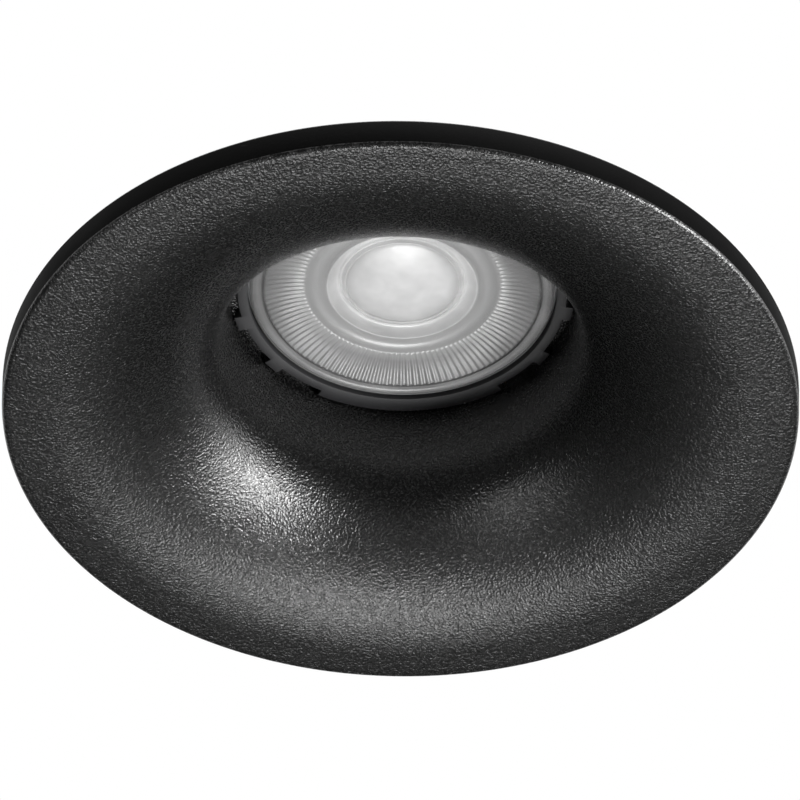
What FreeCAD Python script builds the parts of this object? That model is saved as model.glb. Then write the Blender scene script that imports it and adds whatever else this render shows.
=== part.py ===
import FreeCAD, Part
import math
import os
import re
import Sketcher

# Recessed round downlight with a fixed bell-mouth trim, a 50 mm pin-base reflector lamp and two
# spring clips. Row frame: +Z is up into the ceiling, the room is below, and the origin is the
# centre of the face ring's ceiling side. All sizes are millimetres and degrees.

doc = FreeCAD.newDocument("SoffitDownlight")
sheet = doc.addObject("Spreadsheet::Sheet", "Sizes")
pieces = []
cuts = []
Vector = FreeCAD.Vector
up = Vector(0, 0, 1)
along_x = Vector(1, 0, 0)
along_y = Vector(0, 1, 0)


# ---- sizes ---------------------------------------------------------------------------------

# Each size is set on its own. Millimetres and degrees.
sizes = {
    "play": 0.3,  # clearance between parts that move past each other
    "snug": 0.1,  # clearance between parts fitted into each other
    "pin_play": 0.05,  # radial running fit on the hinge pins
    "past": 1,  # how far a cutting shape runs past the face it opens
    # trim
    "face_radius": 60,  # face ring, outer radius
    "edge_height": 4.65,  # height of the face ring's side wall
    "edge_draft": 2,  # draft of the side wall
    "edge_round": 0.8,  # round on the face ring's front edge
    "land_width": 5.4,  # flat land before the bell mouth starts
    "wall": 2.2,  # casting wall
    "lip_slope": 42.2,  # slope where the bell mouth tightens
    "blend_radius": 15.3,  # tighter arc into the throat
    "throat_slope": 85,  # slope at the end of that arc
    "throat_taper": 0.47,  # how much wider the throat starts than the ring's bore
    "rim_width": 2,  # ceiling rim
    "cover_width": 10.5,  # how far the face ring reaches beyond the skirt
    "skirt_wall": 2,  # locating skirt, wall
    "skirt_height": 7.2,  # top of the locating skirt
    "collar_wall": 2.4,  # collar round the lamp ring
    "collar_rise": 3.2,  # height of the collar above the latch lip
    "boss_in": 34.5,  # bridge boss, inner radius
    "boss_out": 41.5,  # bridge boss, outer radius
    "boss_top": 10,  # bridge boss, height
    "boss_angle": 16,  # bridge boss, angle it spans
    "boss_hole": 1.3,  # bridge boss, radius of the tapped hole
    "boss_depth": 7,  # bridge boss, depth of the tapped hole
    # lamp ring
    "ring_bore": 27,  # throat bore that takes the lamp ring
    "cone_height": 5.1,  # height of the short cone under that bore
    "ring_inset": 3.9,  # height of the ring's face above the bore's start
    "ring_thick": 1.6,  # lamp ring, thickness of its flange
    "ring_hole": 23.9,  # lamp ring, inner radius
    "ring_chamfer": 0.4,  # lamp ring, chamfer on its inner edge
    "ring_clear": 0.25,  # clearance round the lamp's rim
    "slot_root": 25.5,  # radius where the ring's edge slots end
    "slot_angle": 17.5,  # angle of one edge slot
    "slot_pitch": 24,  # angle from slot to slot
    "slot_count": 5,  # slots on each side of the ring
    "ring_turn": 3.7,  # angle at which the ring sits, clockwise from above
    "latch_bore": 25.9,  # bore of the collar's latch lip
    "latch_thick": 1.8,  # thickness of the latch lip
    "latch_gap": 0.1,  # gap between latch lip and lugs
    "lug_relief": 0.2,  # how far the lugs stay inside the ring's edge
    "lug_thick": 1.5,  # bayonet lug, height
    "lug_angle": 20,  # bayonet lug, angle
    "lug_slack": 4,  # extra angle of the notch that frees a lug
    "sleeve_wall": 0.35,  # lug, how far its root reaches into the sleeve
    "release_angle": 28,  # turn that frees the lamp ring
    # lamp
    "lens_inset": 0.4,  # height of the lamp lens's front above the ring's face
    "glass_radius": 23.7,  # lens, visible radius
    "lens_edge": 0.6,  # lens, bevel at its edge
    "lens_plate": 2.7,  # lens, thickness of its front plate
    "cone_out": 21.9,  # lens cone, large radius
    "cone_in": 13,  # lens cone, small radius
    "cone_depth": 9.7,  # lens cone, depth from the front
    "well_radius": 10.2,  # lens, radius of the well at its back
    "well_floor": 4.9,  # lens, depth of the well's floor from the front
    "dome_rise": 1.8,  # lens, rise of the dome in the well
    "rim_radius": 24.75,  # lamp, largest radius
    "rim_gap": 0.2,  # gap between the ring's flange and the lamp's rim
    "rim_height": 3,  # lamp rim, height
    "body_shoulder": 24.2,  # lamp body, radius behind the rim
    "body_length": 32.7,  # lamp body, length from the lens's front
    "body_tail": 14,  # lamp body, radius at its end
    "body_swell": 60,  # radius of the lamp body's outward curve
    "body_bore": 11.5,  # lamp body, bore for the driver
    "seat_thick": 2.5,  # wall between the LED board's seat and that bore
    "chip_gap": 2.1,  # space between the lens cone and the LED chips
    "board_radius": 13.4,  # LED board, radius
    "board_thick": 1.2,  # circuit boards, thickness
    "chip_side": 2.8,  # LED chip, side
    "chip_thick": 0.7,  # LED chip, thickness
    "chip_circle": 6,  # circle of the outer chips
    "wire_hole": 3,  # hole through the board seat
    "fin_count": 24,  # cooling slots round the lamp
    "fin_slot": 1.6,  # cooling slot, width
    "fin_depth": 2.1,  # cooling slot, depth
    "fin_inset": 6.7,  # cooling slot, start behind the lens's front
    "fin_gap": 3,  # cooling slot, distance from the lamp body's end
    "base_neck": 9.7,  # lamp base, radius of its neck
    "neck_rise": 8,  # lamp base, height of its curve to the neck
    "neck_length": 5.8,  # lamp base, length of its neck
    "base_plug": 3,  # length of the plug inside the lamp body
    "base_lip": 1,  # lamp base, height of its lip on the lamp body
    "neck_drop": 2,  # lamp base, how far its hollow starts under the neck
    "base_wall": 1.4,  # lamp base, wall
    "pin_spread": 5,  # lamp pin, distance from the axis
    "shank_radius": 1.6,  # lamp pin, shank radius
    "shank_length": 5,  # lamp pin, shank length
    "head_radius": 2.45,  # lamp pin, head radius
    "head_height": 2.2,  # lamp pin, head height
    "head_chamfer": 0.6,  # lamp pin, chamfer on its head
    "rim_step": 0.6,  # lamp body, chamfer behind the rim
    "tail_step": 1.5,  # lamp body, step in at its end
    "tail_height": 4,  # lamp body, height of that step
    "cone_gap": 1.2,  # space between lens cone and lamp body
    "neck_sweep": 9,  # lamp base, radius of its curve to the neck
    "capacitor_radius": 3.5,  # driver capacitor, radius
    "capacitor_length": 6,  # driver capacitor, length
    "choke_radius": 2.2,  # driver choke, radius
    "choke_length": 5,  # driver choke, length
    "coil_side": 6.5,  # driver transformer, side
    "choke_inset": 1,  # driver choke, distance from the board's edge
    "cavity_reach": 3,  # half length of the contact space
    "driver_half": 9.5,  # driver board, half width
    "driver_length": 17,  # driver board, length
    # lampholder
    "socket_radius": 14.5,  # lampholder, end radius
    "socket_half": 11,  # lampholder, half width
    "socket_height": 13.5,  # lampholder, height
    "socket_floor": 4.3,  # lampholder, plate under the pin heads
    "channel_height": 5.1,  # lampholder, height of the pin channel
    "slot_play": 0.4,  # clearance round the lamp pins
    "twist_angle": 18,  # turn that frees the lamp
    "cavity_half": 3.6,  # half width of the contact space
    "contact_half": 2,  # contact, half width
    "contact_reach": 1.5,  # contact, half length
    "contact_thick": 0.6,  # contact, thickness
    "contact_rise": 3.1,  # contact, height of its tab
    "cover_plate": 1.5,  # lampholder cover, thickness
    "socket_screw_x": 11,  # lampholder screws, distance from the axis
    "screw_radius": 1.5,  # three millimetre screw, shank radius
    "screw_head": 2.7,  # three millimetre screw, head radius
    "screw_head_height": 1.9,  # three millimetre screw, head height
    "slot_wide": 0.8,  # screw slot, width
    "slot_deep": 0.9,  # screw slot, depth
    # bridge
    "strap_thick": 1.2,  # bridge, sheet thickness
    "strap_half": 14,  # bridge, half width at its top
    "leg_half": 8,  # bridge, half width of its legs
    "leg_gap": 2.5,  # bridge, distance from its legs to the bosses
    "leg_drop": 7.1,  # how far under the strap the legs widen
    "bend": 1.5,  # bridge, inside bend radius
    "foot_lip": 1,  # bridge, how far its feet reach past the bosses
    "window_half": 4,  # bridge window, half width
    "window_rise": 24,  # bridge window, height of its lower end above the bosses
    "window_drop": 19.1,  # bridge window, depth of its upper end under the strap
    # terminal box
    "box_back": 22,  # terminal box, reach away from the inlet
    "box_front": 44,  # terminal box, reach towards the inlet
    "box_half": 17,  # terminal box, half width
    "box_wall": 1.6,  # terminal box, wall
    "box_floor": 1.8,  # terminal box, floor and cover
    "box_height": 20,  # terminal box, height
    "box_round": 3,  # terminal box, corner radius
    "inlet_height": 9.5,  # cable inlet, height above the bridge
    "inlet_radius": 6,  # cable inlet, hole radius
    "cable_radius": 3.8,  # cable inlet, bore for the cable
    "grommet_flange": 7.6,  # grommet, flange radius
    "grommet_thick": 1.6,  # grommet, flange thickness
    "pillar_inset": 4.5,  # cover screw pillar, distance from both walls
    "pillar_radius": 2.6,  # cover screw pillar, radius
    "box_screw_x": 5,  # box screws, place
    "box_screw_inset": 4.5,  # box screws, distance from the long walls
    "block_gap": 8,  # distance from the terminal block to the middle of the cord grip
    "block_length": 16,  # terminal block, length
    "block_height": 13,  # terminal block, height
    "pole_pitch": 8,  # terminal block, distance from pole to pole
    "pole_half": 3.8,  # terminal block, half width of a pole
    "web_half": 12,  # terminal block, half length of its web
    "web_thick": 6,  # terminal block, height of its web
    "web_inset": 2,  # terminal block, how far its web stays inside the poles
    "entry_height": 7.9,  # wire entry, height above the box floor
    "entry_radius": 1.9,  # wire entry, radius
    "sleeve_bore": 1.3,  # brass sleeve, bore
    "clamp_radius": 1.5,  # clamp screw, radius
    "clamp_inset": 4,  # clamp screw, distance from the block's end
    "grip_inset": 8,  # cord grip, distance from the box's end
    "grip_half": 3,  # cord grip, half width
    "grip_reach": 11.5,  # cord grip, half length
    "grip_screw_y": 8.8,  # cord grip screws, distance from the middle
    "grip_thick": 2.4,  # cord grip, foot thickness
    "grip_wall": 1.8,  # cord grip, arch wall
    "post_height": 4.6,  # cord grip posts, height
    "post_radius": 2.6,  # cord grip posts, radius
    "small_screw": 1.2,  # small screw, shank radius
    "small_head": 2.3,  # small screw, head radius
    "small_head_height": 1.5,  # small screw, head height
    "tip_room": 1,  # space under a screw's tip in a blind hole
    "lead_radius": 1.1,  # inner leads, radius with their sleeve
    "earth_x": 10,  # earth screw, place across the bridge
    "earth_y": 26,  # earth screw, place along the bridge
    "tag_half": 3,  # earth tag, half width
    "tag_thick": 0.8,  # earth tag, thickness
    "barrel_y": 21,  # earth tag, place of its crimp barrel
    "barrel_height": 3,  # earth tag, height of its crimp barrel
    "tag_tail": 2,  # earth tag, reach beyond its crimp barrel
    "earth_tip": 2,  # earth screw, length under the bridge
    "corner_share": 0.45,  # inner leads, share of a run that its bend takes
    # clips
    "clip_width": 12,  # spring clip, width
    "clip_sheet": 0.8,  # spring clip, sheet thickness
    "clip_length": 35.5,  # spring clip, tip from its hinge
    "clip_tip": 4.5,  # spring clip, tip radius
    "taper_gap": 15.5,  # spring clip, start of its taper from the hinge
    "root_gap": 2.1,  # spring clip, start of its web from the hinge
    "cheek_round": 3,  # spring clip, radius of its cheeks
    "cheek_length": 9.5,  # spring clip, end of its cheeks from the hinge
    "cheek_edge": 1.2,  # spring clip, height of the cheeks at their end
    "window_gap": 10.5,  # spring clip window, start from the hinge
    "window_length": 9,  # spring clip window, length of its straight sides
    "clip_window_half": 2.2,  # spring clip window, half width
    "ear_thick": 2.5,  # trim ear, thickness
    "ear_round": 3.4,  # trim ear, radius of its top
    "hinge_inset": 5,  # hinge pin, distance inside the skirt
    "hinge_rise": 4.3,  # hinge pin, height above the skirt
    "pin_radius": 1.25,  # hinge pin, radius
    "rivet_radius": 2.3,  # hinge pin, head radius
    "rivet_height": 0.9,  # hinge pin, head height
    "spring_wire": 1.2,  # clip spring, wire diameter
    "spring_mean": 2.3,  # clip spring, mean coil radius
    "spring_pitch": 1.7,  # clip spring, pitch
    "spring_turns": 5,  # clip spring, whole turns before its legs
    "spring_tail_angle": 30,  # clip spring, droop of its fixed leg
    "spring_leg": 9,  # clip spring, length of its moving leg
    "pad_length": 16,  # clip pad, length on the clip
    "pad_wall": 1.5,  # clip pad, wall
    "pad_round": 1,  # clip pad, edge radius
}

# Places that follow from the sizes.
places = {
    "back_radius": "=face_radius+edge_height*tan(edge_draft)",  # face ring, radius at the ceiling
    "bell_start": "=face_radius-land_width",  # radius where the bell mouth starts
    "throat_radius": "=ring_bore+throat_taper",  # throat, radius at its start
    "blend_x": "=throat_radius+blend_radius*sin(throat_slope)",  # tighter arc, centre radius
    "lip_radius": "=blend_x-blend_radius*sin(lip_slope)",  # radius where the arc tightens
    "bell_radius": "=(bell_start-lip_radius)/sin(lip_slope)",  # bell mouth, arc radius
    "bell_centre": "=bell_radius-edge_height",  # height of the bell arc's centre
    "lip_height": "=bell_centre-bell_radius*cos(lip_slope)",  # height where the arc tightens
    "blend_z": "=lip_height+blend_radius*cos(lip_slope)",  # tighter arc, centre height
    "throat_height": "=blend_z-blend_radius*cos(throat_slope)",  # throat, height at its start
    "back_bell": "=bell_radius-wall",  # bell arc on the ceiling side
    "back_blend": "=blend_radius-wall",  # tighter arc on the ceiling side
    "recess": "=wall-edge_height",  # height of the recess behind the face
    "rim_inner": "=back_radius-rim_width",  # ceiling rim, inner radius
    "skirt_radius": "=face_radius-cover_width",  # locating skirt, outer radius
    "collar_radius": "=ring_bore+collar_wall",  # collar, outer radius
    "bore_start": "=throat_height+cone_height",  # height where the ring's bore starts
    "ring_face": "=bore_start+ring_inset",  # height of the lamp ring's face
    "seat": "=ring_face+ring_thick",  # height of the seat of the lamp ring
    "latch_top": "=seat+latch_thick",  # top of the latch lip
    "collar_top": "=latch_top+collar_rise",  # top of the collar
    "ring_radius": "=ring_bore-play",  # lamp ring, outer radius
    "sleeve_out": "=latch_bore-play",  # lamp ring sleeve, outer radius
    "sleeve_in": "=rim_radius+ring_clear",  # lamp ring sleeve, inner radius
    "lug_low": "=latch_top+latch_gap",  # height of the lugs' underside
    "lug_radius": "=ring_radius-lug_relief",  # lug, outer radius
    "lens_face": "=ring_face+lens_inset",  # height of the lamp lens's front
    "mouth_radius": "=glass_radius+snug*2",  # lamp body, mouth round the lens
    "lens_back": "=lens_face+lens_plate",  # height of the lens plate's back
    "cone_end": "=lens_face+cone_depth",  # height of the lens cone's end
    "rim_front": "=seat+rim_gap",  # height of the lamp's rim
    "board_seat": "=cone_end+chip_gap+chip_thick+board_thick",  # height of the LED board's seat
    "bore_floor": "=board_seat+seat_thick",  # height of the floor of the driver's bore
    "body_end": "=lens_face+body_length",  # height where the lamp body ends
    "fin_start": "=lens_face+fin_inset",  # height where the cooling slots start
    "fin_end": "=body_end-fin_gap",  # height where the cooling slots end
    "neck_start": "=body_end+neck_rise",  # height where the lamp base's neck starts
    "base_end": "=neck_start+neck_length",  # height of the lamp base's end
    "socket_low": "=base_end+play",  # height of the lampholder's face
    "channel_low": "=socket_low+socket_floor",  # height of the pin channel's floor
    "channel_top": "=channel_low+channel_height",  # height of the pin channel's top
    "socket_top": "=socket_low+socket_height",  # height of the lampholder's back
    "contact_low": "=base_end+shank_length+head_height+play",  # height of the contacts
    "contact_top": "=contact_low+contact_thick+contact_rise",  # height where the leads start
    "strap_low": "=socket_top+cover_plate",  # height of the bridge top's underside
    "strap_high": "=strap_low+strap_thick",  # height of the bridge top's upper side
    "leg_place": "=boss_in-leg_gap",  # bridge, inner face of its legs
    "foot_end": "=boss_out+foot_lip",  # bridge, end of its feet
    "leg_top": "=strap_low-leg_drop",  # height where the legs widen
    "window_low": "=boss_top+window_rise",  # bridge window, lower end
    "window_high": "=strap_low-window_drop",  # bridge window, upper end
    "floor_top": "=strap_high+box_floor",  # height of the terminal box's floor
    "box_top": "=strap_high+box_height",  # height of the terminal box's rim
    "entry_z": "=floor_top+entry_height",  # height of the wire entries
    "inlet_z": "=strap_high+inlet_height",  # height of the cable inlet
    "pillar_x": "=box_back-pillar_inset",  # cover screw pillar, place back
    "pillar_y": "=box_half-pillar_inset",  # cover screw pillar, place aside
    "box_screw_y": "=box_half-box_screw_inset",  # box screws, distance from the middle
    "grip_x": "=box_front-grip_inset",  # cord grip, place
    "block_start": "=grip_x-block_gap-block_length",  # terminal block, near face
    "hinge_x": "=skirt_radius-hinge_inset",  # hinge pin, distance from the axis
    "hinge_z": "=skirt_height+hinge_rise",  # hinge pin, height
    "ear_low": "=clip_width/2+play",  # inner face of the trim ears
    "ear_high": "=ear_low+ear_thick",  # outer face of the trim ears
    "web_low": "=skirt_height+play",  # underside of the clip's web
    "web_high": "=web_low+clip_sheet",  # upper side of the clip's web
    "clip_root": "=hinge_x+root_gap",  # start of the clip's web
    "clip_reach": "=hinge_x+clip_length",  # tip of the clip
    "clip_taper": "=hinge_x+taper_gap",  # start of the clip's taper
    "cheek_reach": "=hinge_x+cheek_length",  # end of the clip's cheeks
    "clip_window_start": "=hinge_x+window_gap",  # start of the clip's window
    "clip_window_end": "=clip_window_start+window_length",  # end of the clip's window
    "pad_start": "=clip_reach-pad_length",  # start of the clip's pad
}

names = list(sizes) + list(places)
for row, (name, value) in enumerate({**sizes, **places}.items(), 1):
    sheet.set("A%d" % row, name)
    sheet.set("B%d" % row, str(value))
    sheet.setAlias("B%d" % row, name)
doc.recompute()


def number(text):
    return float(sheet.evalExpression(text))


def formula(text):
    return re.sub(r"[a-z_]+", lambda m: "Sizes." + m.group() if m.group() in names else m.group(), text)


def bind(thing, place, text):
    thing.setExpression(place, formula(text))


# ---- sketches and features -----------------------------------------------------------------

def new_body(name):
    body = doc.addObject("PartDesign::Body", name)
    body.Label = name
    pieces.append(body)
    return body


def origin(body, role):
    return [item for item in body.Origin.OriginFeatures if item.Role == role][0]


# A sketch on one of the body's own planes. lift moves it along the plane's normal and turn swings
# it about the plane's upright axis, clockwise from above where the text starts with a minus.
def new_sketch(body, plane, lift="0", turn="0"):
    sketch = body.newObject("Sketcher::SketchObject", body.Name + "_sketch")
    sketch.AttachmentSupport = [(origin(body, plane), "")]
    sketch.MapMode = "FlatFace"
    axis = Vector(0, -1, 0) if turn.startswith("-") else Vector(0, 1, 0)
    turn = turn.lstrip("-")
    if turn != "0":
        swing = FreeCAD.Rotation(axis, number(turn))
        sketch.AttachmentOffset = FreeCAD.Placement(Vector(0, 0, 0), swing)
        bind(sketch, "AttachmentOffset.Rotation.Angle", turn)
    if lift != "0":
        bind(sketch, "AttachmentOffset.Base.z", lift)
    return sketch


def hold(sketch, kind, geometry, vertex, text):
    where = (geometry, number(text)) if kind == "Radius" else (-1, 1, geometry, vertex, number(text))
    index = sketch.addConstraint(Sketcher.Constraint(kind, *where))
    if re.search("[a-z]", text):
        sketch.setExpression("Constraints[%d]" % index, formula(text))


def short_arc(start, end, radius, way):
    half = (end - start) * 0.5
    rise = math.sqrt(max(radius ** 2 - half.Length ** 2, 0))
    side = Vector(-half.y, half.x, 0).normalize() * (rise * way)
    centre = start + half + side
    ends = [math.atan2(p.y - centre.y, p.x - centre.x) for p in (start, end)]
    first, last = ends if way > 0 else ends[::-1]
    if last < first:
        last += 2 * math.pi
    return Part.ArcOfCircle(Part.Circle(centre, Vector(0, 0, 1), radius), first, last)


# A closed outline. Each point is (x, y) for a straight run up to it, or (x, y, radius, way) for an
# arc up to it, counter-clockwise where way is 1 and clockwise where it is -1.
def outline(sketch, *points):
    spots = [Vector(number(p[0]), number(p[1]), 0) for p in points]
    first = sketch.GeometryCount
    ends = []
    for index, point in enumerate(points):
        start, end = spots[index - 1], spots[index]
        if len(point) == 2:
            sketch.addGeometry(Part.LineSegment(start, end), False)
            ends.append((1, 2))
        else:
            sketch.addGeometry(short_arc(start, end, number(point[2]), point[3]), False)
            ends.append((1, 2) if point[3] > 0 else (2, 1))
    for index, point in enumerate(points):
        after = (index + 1) % len(points)
        joint = (first + index, ends[index][1], first + after, ends[after][0])
        sketch.addConstraint(Sketcher.Constraint("Coincident", *joint))
        hold(sketch, "DistanceX", first + index, ends[index][1], point[0])
        hold(sketch, "DistanceY", first + index, ends[index][1], point[1])
        if len(point) == 4:
            hold(sketch, "Radius", first + index, 0, point[2])
    return sketch


def rectangle(sketch, left, low, right, high):
    return outline(sketch, (left, low), (right, low), (right, high), (left, high))


def circle(sketch, x, y, radius):
    index = sketch.GeometryCount
    ring = Part.Circle(Vector(number(x), number(y), 0), Vector(0, 0, 1), number(radius))
    sketch.addGeometry(ring, False)
    hold(sketch, "DistanceX", index, 3, x)
    hold(sketch, "DistanceY", index, 3, y)
    hold(sketch, "Radius", index, 0, radius)
    return sketch


def revolve(sketch, angle="360", cut=False, both=False, back=False):
    body = sketch.getParentGeoFeatureGroup()
    kind = "PartDesign::Groove" if cut else "PartDesign::Revolution"
    thing = body.newObject(kind, body.Name + "_turned")
    thing.Profile = sketch
    thing.ReferenceAxis = (sketch, ["V_Axis"])
    thing.Midplane = both
    thing.Reversed = back
    bind(thing, "Angle", angle)
    if cut:
        cuts.append(thing)
    return thing


def pad(sketch, length, both=False, back=False):
    body = sketch.getParentGeoFeatureGroup()
    thing = body.newObject("PartDesign::Pad", body.Name + "_pad")
    thing.Profile = sketch
    thing.SideType = "Symmetric" if both else "One side"
    thing.Reversed = back
    bind(thing, "Length", length)
    return thing


def pocket(sketch, length, both=False, back=False):
    body = sketch.getParentGeoFeatureGroup()
    thing = body.newObject("PartDesign::Pocket", body.Name + "_pocket")
    thing.Profile = sketch
    thing.SideType = "Symmetric" if both else "One side"
    thing.Reversed = back
    bind(thing, "Length", length)
    cuts.append(thing)
    return thing


def around(body, features, count, angle="360"):
    rows = body.newObject("PartDesign::PolarPattern", body.Name + "_around")
    rows.Originals = features
    rows.Axis = (origin(body, "Z_Axis"), [""])
    bind(rows, "Angle", angle)
    bind(rows, "Occurrences", count)
    body.Tip = rows
    return rows


def mirrored(body, features, plane):
    copy = body.newObject("PartDesign::Mirrored", body.Name + "_mirrored")
    copy.Originals = features
    copy.MirrorPlane = (origin(body, plane), [""])
    body.Tip = copy
    return copy


# ---- primitives ----------------------------------------------------------------------------

def place(thing, spot, axis=up):
    thing.Placement = FreeCAD.Placement(Vector(0, 0, 0), FreeCAD.Rotation(up, axis))
    for letter, text in zip("xyz", spot):
        bind(thing, "Placement.Base." + letter, text)
    return thing


def cylinder(radius, height, spot, axis=up):
    thing = doc.addObject("Part::Cylinder", "cylinder")
    bind(thing, "Radius", radius)
    bind(thing, "Height", height)
    return place(thing, spot, axis)


def cone(low_radius, high_radius, height, spot, axis=up):
    thing = doc.addObject("Part::Cone", "cone")
    bind(thing, "Radius1", low_radius)
    bind(thing, "Radius2", high_radius)
    bind(thing, "Height", height)
    return place(thing, spot, axis)


def box(low, lengths):
    thing = doc.addObject("Part::Box", "box")
    for side, text in zip(("Length", "Width", "Height"), lengths):
        bind(thing, side, text)
    return place(thing, low)


def fused(*things):
    joined = doc.addObject("Part::MultiFuse", "fused")
    joined.Shapes = list(things)
    return joined


def cut(base, *tools):
    result = doc.addObject("Part::Cut", "cut")
    result.Base = base
    result.Tool = tools[0] if len(tools) == 1 else fused(*tools)
    return result


def group(*things):
    heap = doc.addObject("Part::Compound", "group")
    heap.Links = list(things)
    return heap


def piece(name, thing):
    thing.Label = name
    pieces.append(thing)
    return thing


# A slotted upright screw: head on the side its axis points away from, shank along the axis.
def screw(spot, axis, radius, length, head, head_height):
    turned = axis * -1
    shank = cylinder(radius, length, spot, axis)
    cap = cylinder(head, head_height, spot, turned)
    slot = doc.addObject("Part::Box", "slot")
    bind(slot, "Length", "(%s) * 2" % head)
    bind(slot, "Width", "slot_wide")
    bind(slot, "Height", "slot_deep")
    corner = ["(%s) - (%s)" % (spot[0], head), "(%s) - slot_wide / 2" % spot[1]]
    lift = "(%s) - slot_deep" % head_height if turned.z > 0 else "0 - (%s)" % head_height
    corner.append("(%s) + (%s)" % (spot[2], lift))
    return cut(fused(shank, cap), place(slot, corner))


# ---- trim ----------------------------------------------------------------------------------

# Height of the middle of the casting wall under a point of the bell mouth's back.
def wall_middle(x):
    return "bell_centre - sqrt((bell_radius - wall / 2)^2 - (bell_start - (%s))^2)" % x


def trim_shell(body):
    section = new_sketch(body, "XZ_Plane")
    outline(
        section,
        ("face_radius - edge_round", "0 - edge_height"),
        ("face_radius", "edge_round - edge_height", "edge_round", 1),
        ("back_radius", "0"),
        ("rim_inner", "0"),
        ("rim_inner", "recess"),
        ("bell_start", "recess"),
        ("bell_start - back_bell * sin(lip_slope)", "bell_centre - back_bell * cos(lip_slope)",
         "back_bell", -1),
        ("blend_x - back_blend * sin(throat_slope)", "blend_z - back_blend * cos(throat_slope)",
         "back_blend", -1),
        ("collar_radius", "bore_start"),
        ("collar_radius", "collar_top"),
        ("ring_bore", "collar_top"),
        ("ring_bore", "latch_top"),
        ("latch_bore", "latch_top"),
        ("latch_bore", "seat"),
        ("ring_bore", "seat"),
        ("ring_bore", "bore_start"),
        ("throat_radius", "throat_height"),
        ("lip_radius", "lip_height", "blend_radius", 1),
        ("bell_start", "0 - edge_height", "bell_radius", 1),
    )
    revolve(section)


def trim_skirt(body):
    inner = "skirt_radius - skirt_wall"
    section = new_sketch(body, "XZ_Plane")
    outline(section, (inner, wall_middle(inner)), ("skirt_radius", wall_middle("skirt_radius")),
            ("skirt_radius", "skirt_height"), (inner, "skirt_height"))
    revolve(section)


def trim_ears(body):
    near, far = "hinge_x - ear_round", "hinge_x + ear_round"
    pads = []
    for lift in ("ear_low", "0 - ear_high"):
        side = new_sketch(body, "XZ_Plane", lift)
        outline(side, (near, wall_middle(near)), (far, wall_middle(far)), (far, "hinge_z"),
                ("hinge_x", "hinge_z + ear_round", "ear_round", 1),
                (near, "hinge_z", "ear_round", 1))
        pads.append(pad(side, "ear_thick"))
    around(body, pads, "2")
    bore = circle(new_sketch(body, "XZ_Plane"), "hinge_x", "hinge_z", "pin_radius + pin_play")
    around(body, [pocket(bore, "(ear_high + past) * 2", both=True)], "2")


def trim_bosses(body):
    section = new_sketch(body, "YZ_Plane")
    outline(section, ("boss_in", wall_middle("boss_in")), ("boss_out", wall_middle("boss_out")),
            ("boss_out", "boss_top"), ("boss_in", "boss_top"))
    around(body, [revolve(section, "boss_angle", both=True)], "2")
    hole = new_sketch(body, "XY_Plane", "boss_top")
    circle(hole, "0", "(boss_in + boss_out) / 2", "boss_hole")
    around(body, [pocket(hole, "boss_depth")], "2")


# The notches through the latch lip that let the ring's two lugs past.
def trim_notches(body):
    section = new_sketch(body, "YZ_Plane", turn="-ring_turn + release_angle")
    rectangle(section, "latch_bore - past", "seat", "lug_radius + play", "latch_top")
    around(body, [revolve(section, "lug_angle + lug_slack", cut=True, both=True)], "2")


def make_trim():
    body = new_body("trim")
    trim_shell(body)
    trim_skirt(body)
    trim_ears(body)
    trim_bosses(body)
    trim_notches(body)


def make_gasket():
    body = new_body("ceiling_gasket")
    section = new_sketch(body, "XZ_Plane")
    rectangle(section, "bell_start", "recess", "rim_inner - play", "0")
    revolve(section)


# ---- lamp ring -----------------------------------------------------------------------------

def make_lamp_ring():
    body = new_body("lamp_ring")
    section = new_sketch(body, "XZ_Plane")
    outline(
        section,
        ("ring_hole + ring_chamfer", "ring_face"),
        ("ring_radius", "ring_face"),
        ("ring_radius", "seat"),
        ("sleeve_out", "seat"),
        ("sleeve_out", "lug_low + lug_thick"),
        ("sleeve_in", "lug_low + lug_thick"),
        ("sleeve_in", "seat"),
        ("ring_hole", "seat"),
        ("ring_hole", "ring_face + ring_chamfer"),
    )
    revolve(section)
    lug = new_sketch(body, "YZ_Plane")
    rectangle(lug, "sleeve_out - sleeve_wall", "lug_low", "lug_radius", "lug_low + lug_thick")
    around(body, [revolve(lug, "lug_angle", both=True)], "2")
    first = "-slot_pitch * (slot_count - 1) / 2"
    for turn in (first, "180" + first):
        slot = new_sketch(body, "XZ_Plane", turn=turn)
        rectangle(slot, "slot_root", "ring_face - past", "ring_radius + past", "seat")
        comb = revolve(slot, "slot_angle", cut=True, both=True)
        around(body, [comb], "slot_count", "slot_pitch * (slot_count - 1)")
    body.Placement = FreeCAD.Placement(Vector(0, 0, 0), FreeCAD.Rotation(up * -1, number("ring_turn")))
    bind(body, "Placement.Rotation.Angle", "ring_turn")


# ---- lamp ----------------------------------------------------------------------------------

def make_optic():
    body = new_body("lamp_optic")
    section = new_sketch(body, "XZ_Plane")
    outline(
        section,
        ("0", "lens_face"),
        ("glass_radius - lens_edge", "lens_face"),
        ("glass_radius", "lens_face + lens_edge"),
        ("glass_radius", "lens_back"),
        ("cone_out", "lens_back"),
        ("cone_in", "cone_end", "body_swell", 1),
        ("well_radius", "cone_end"),
        ("well_radius", "lens_face + well_floor"),
        ("0", "lens_face + well_floor + dome_rise",
         "(well_radius^2 + dome_rise^2) / (2 * dome_rise)", 1),
    )
    revolve(section)


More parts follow.
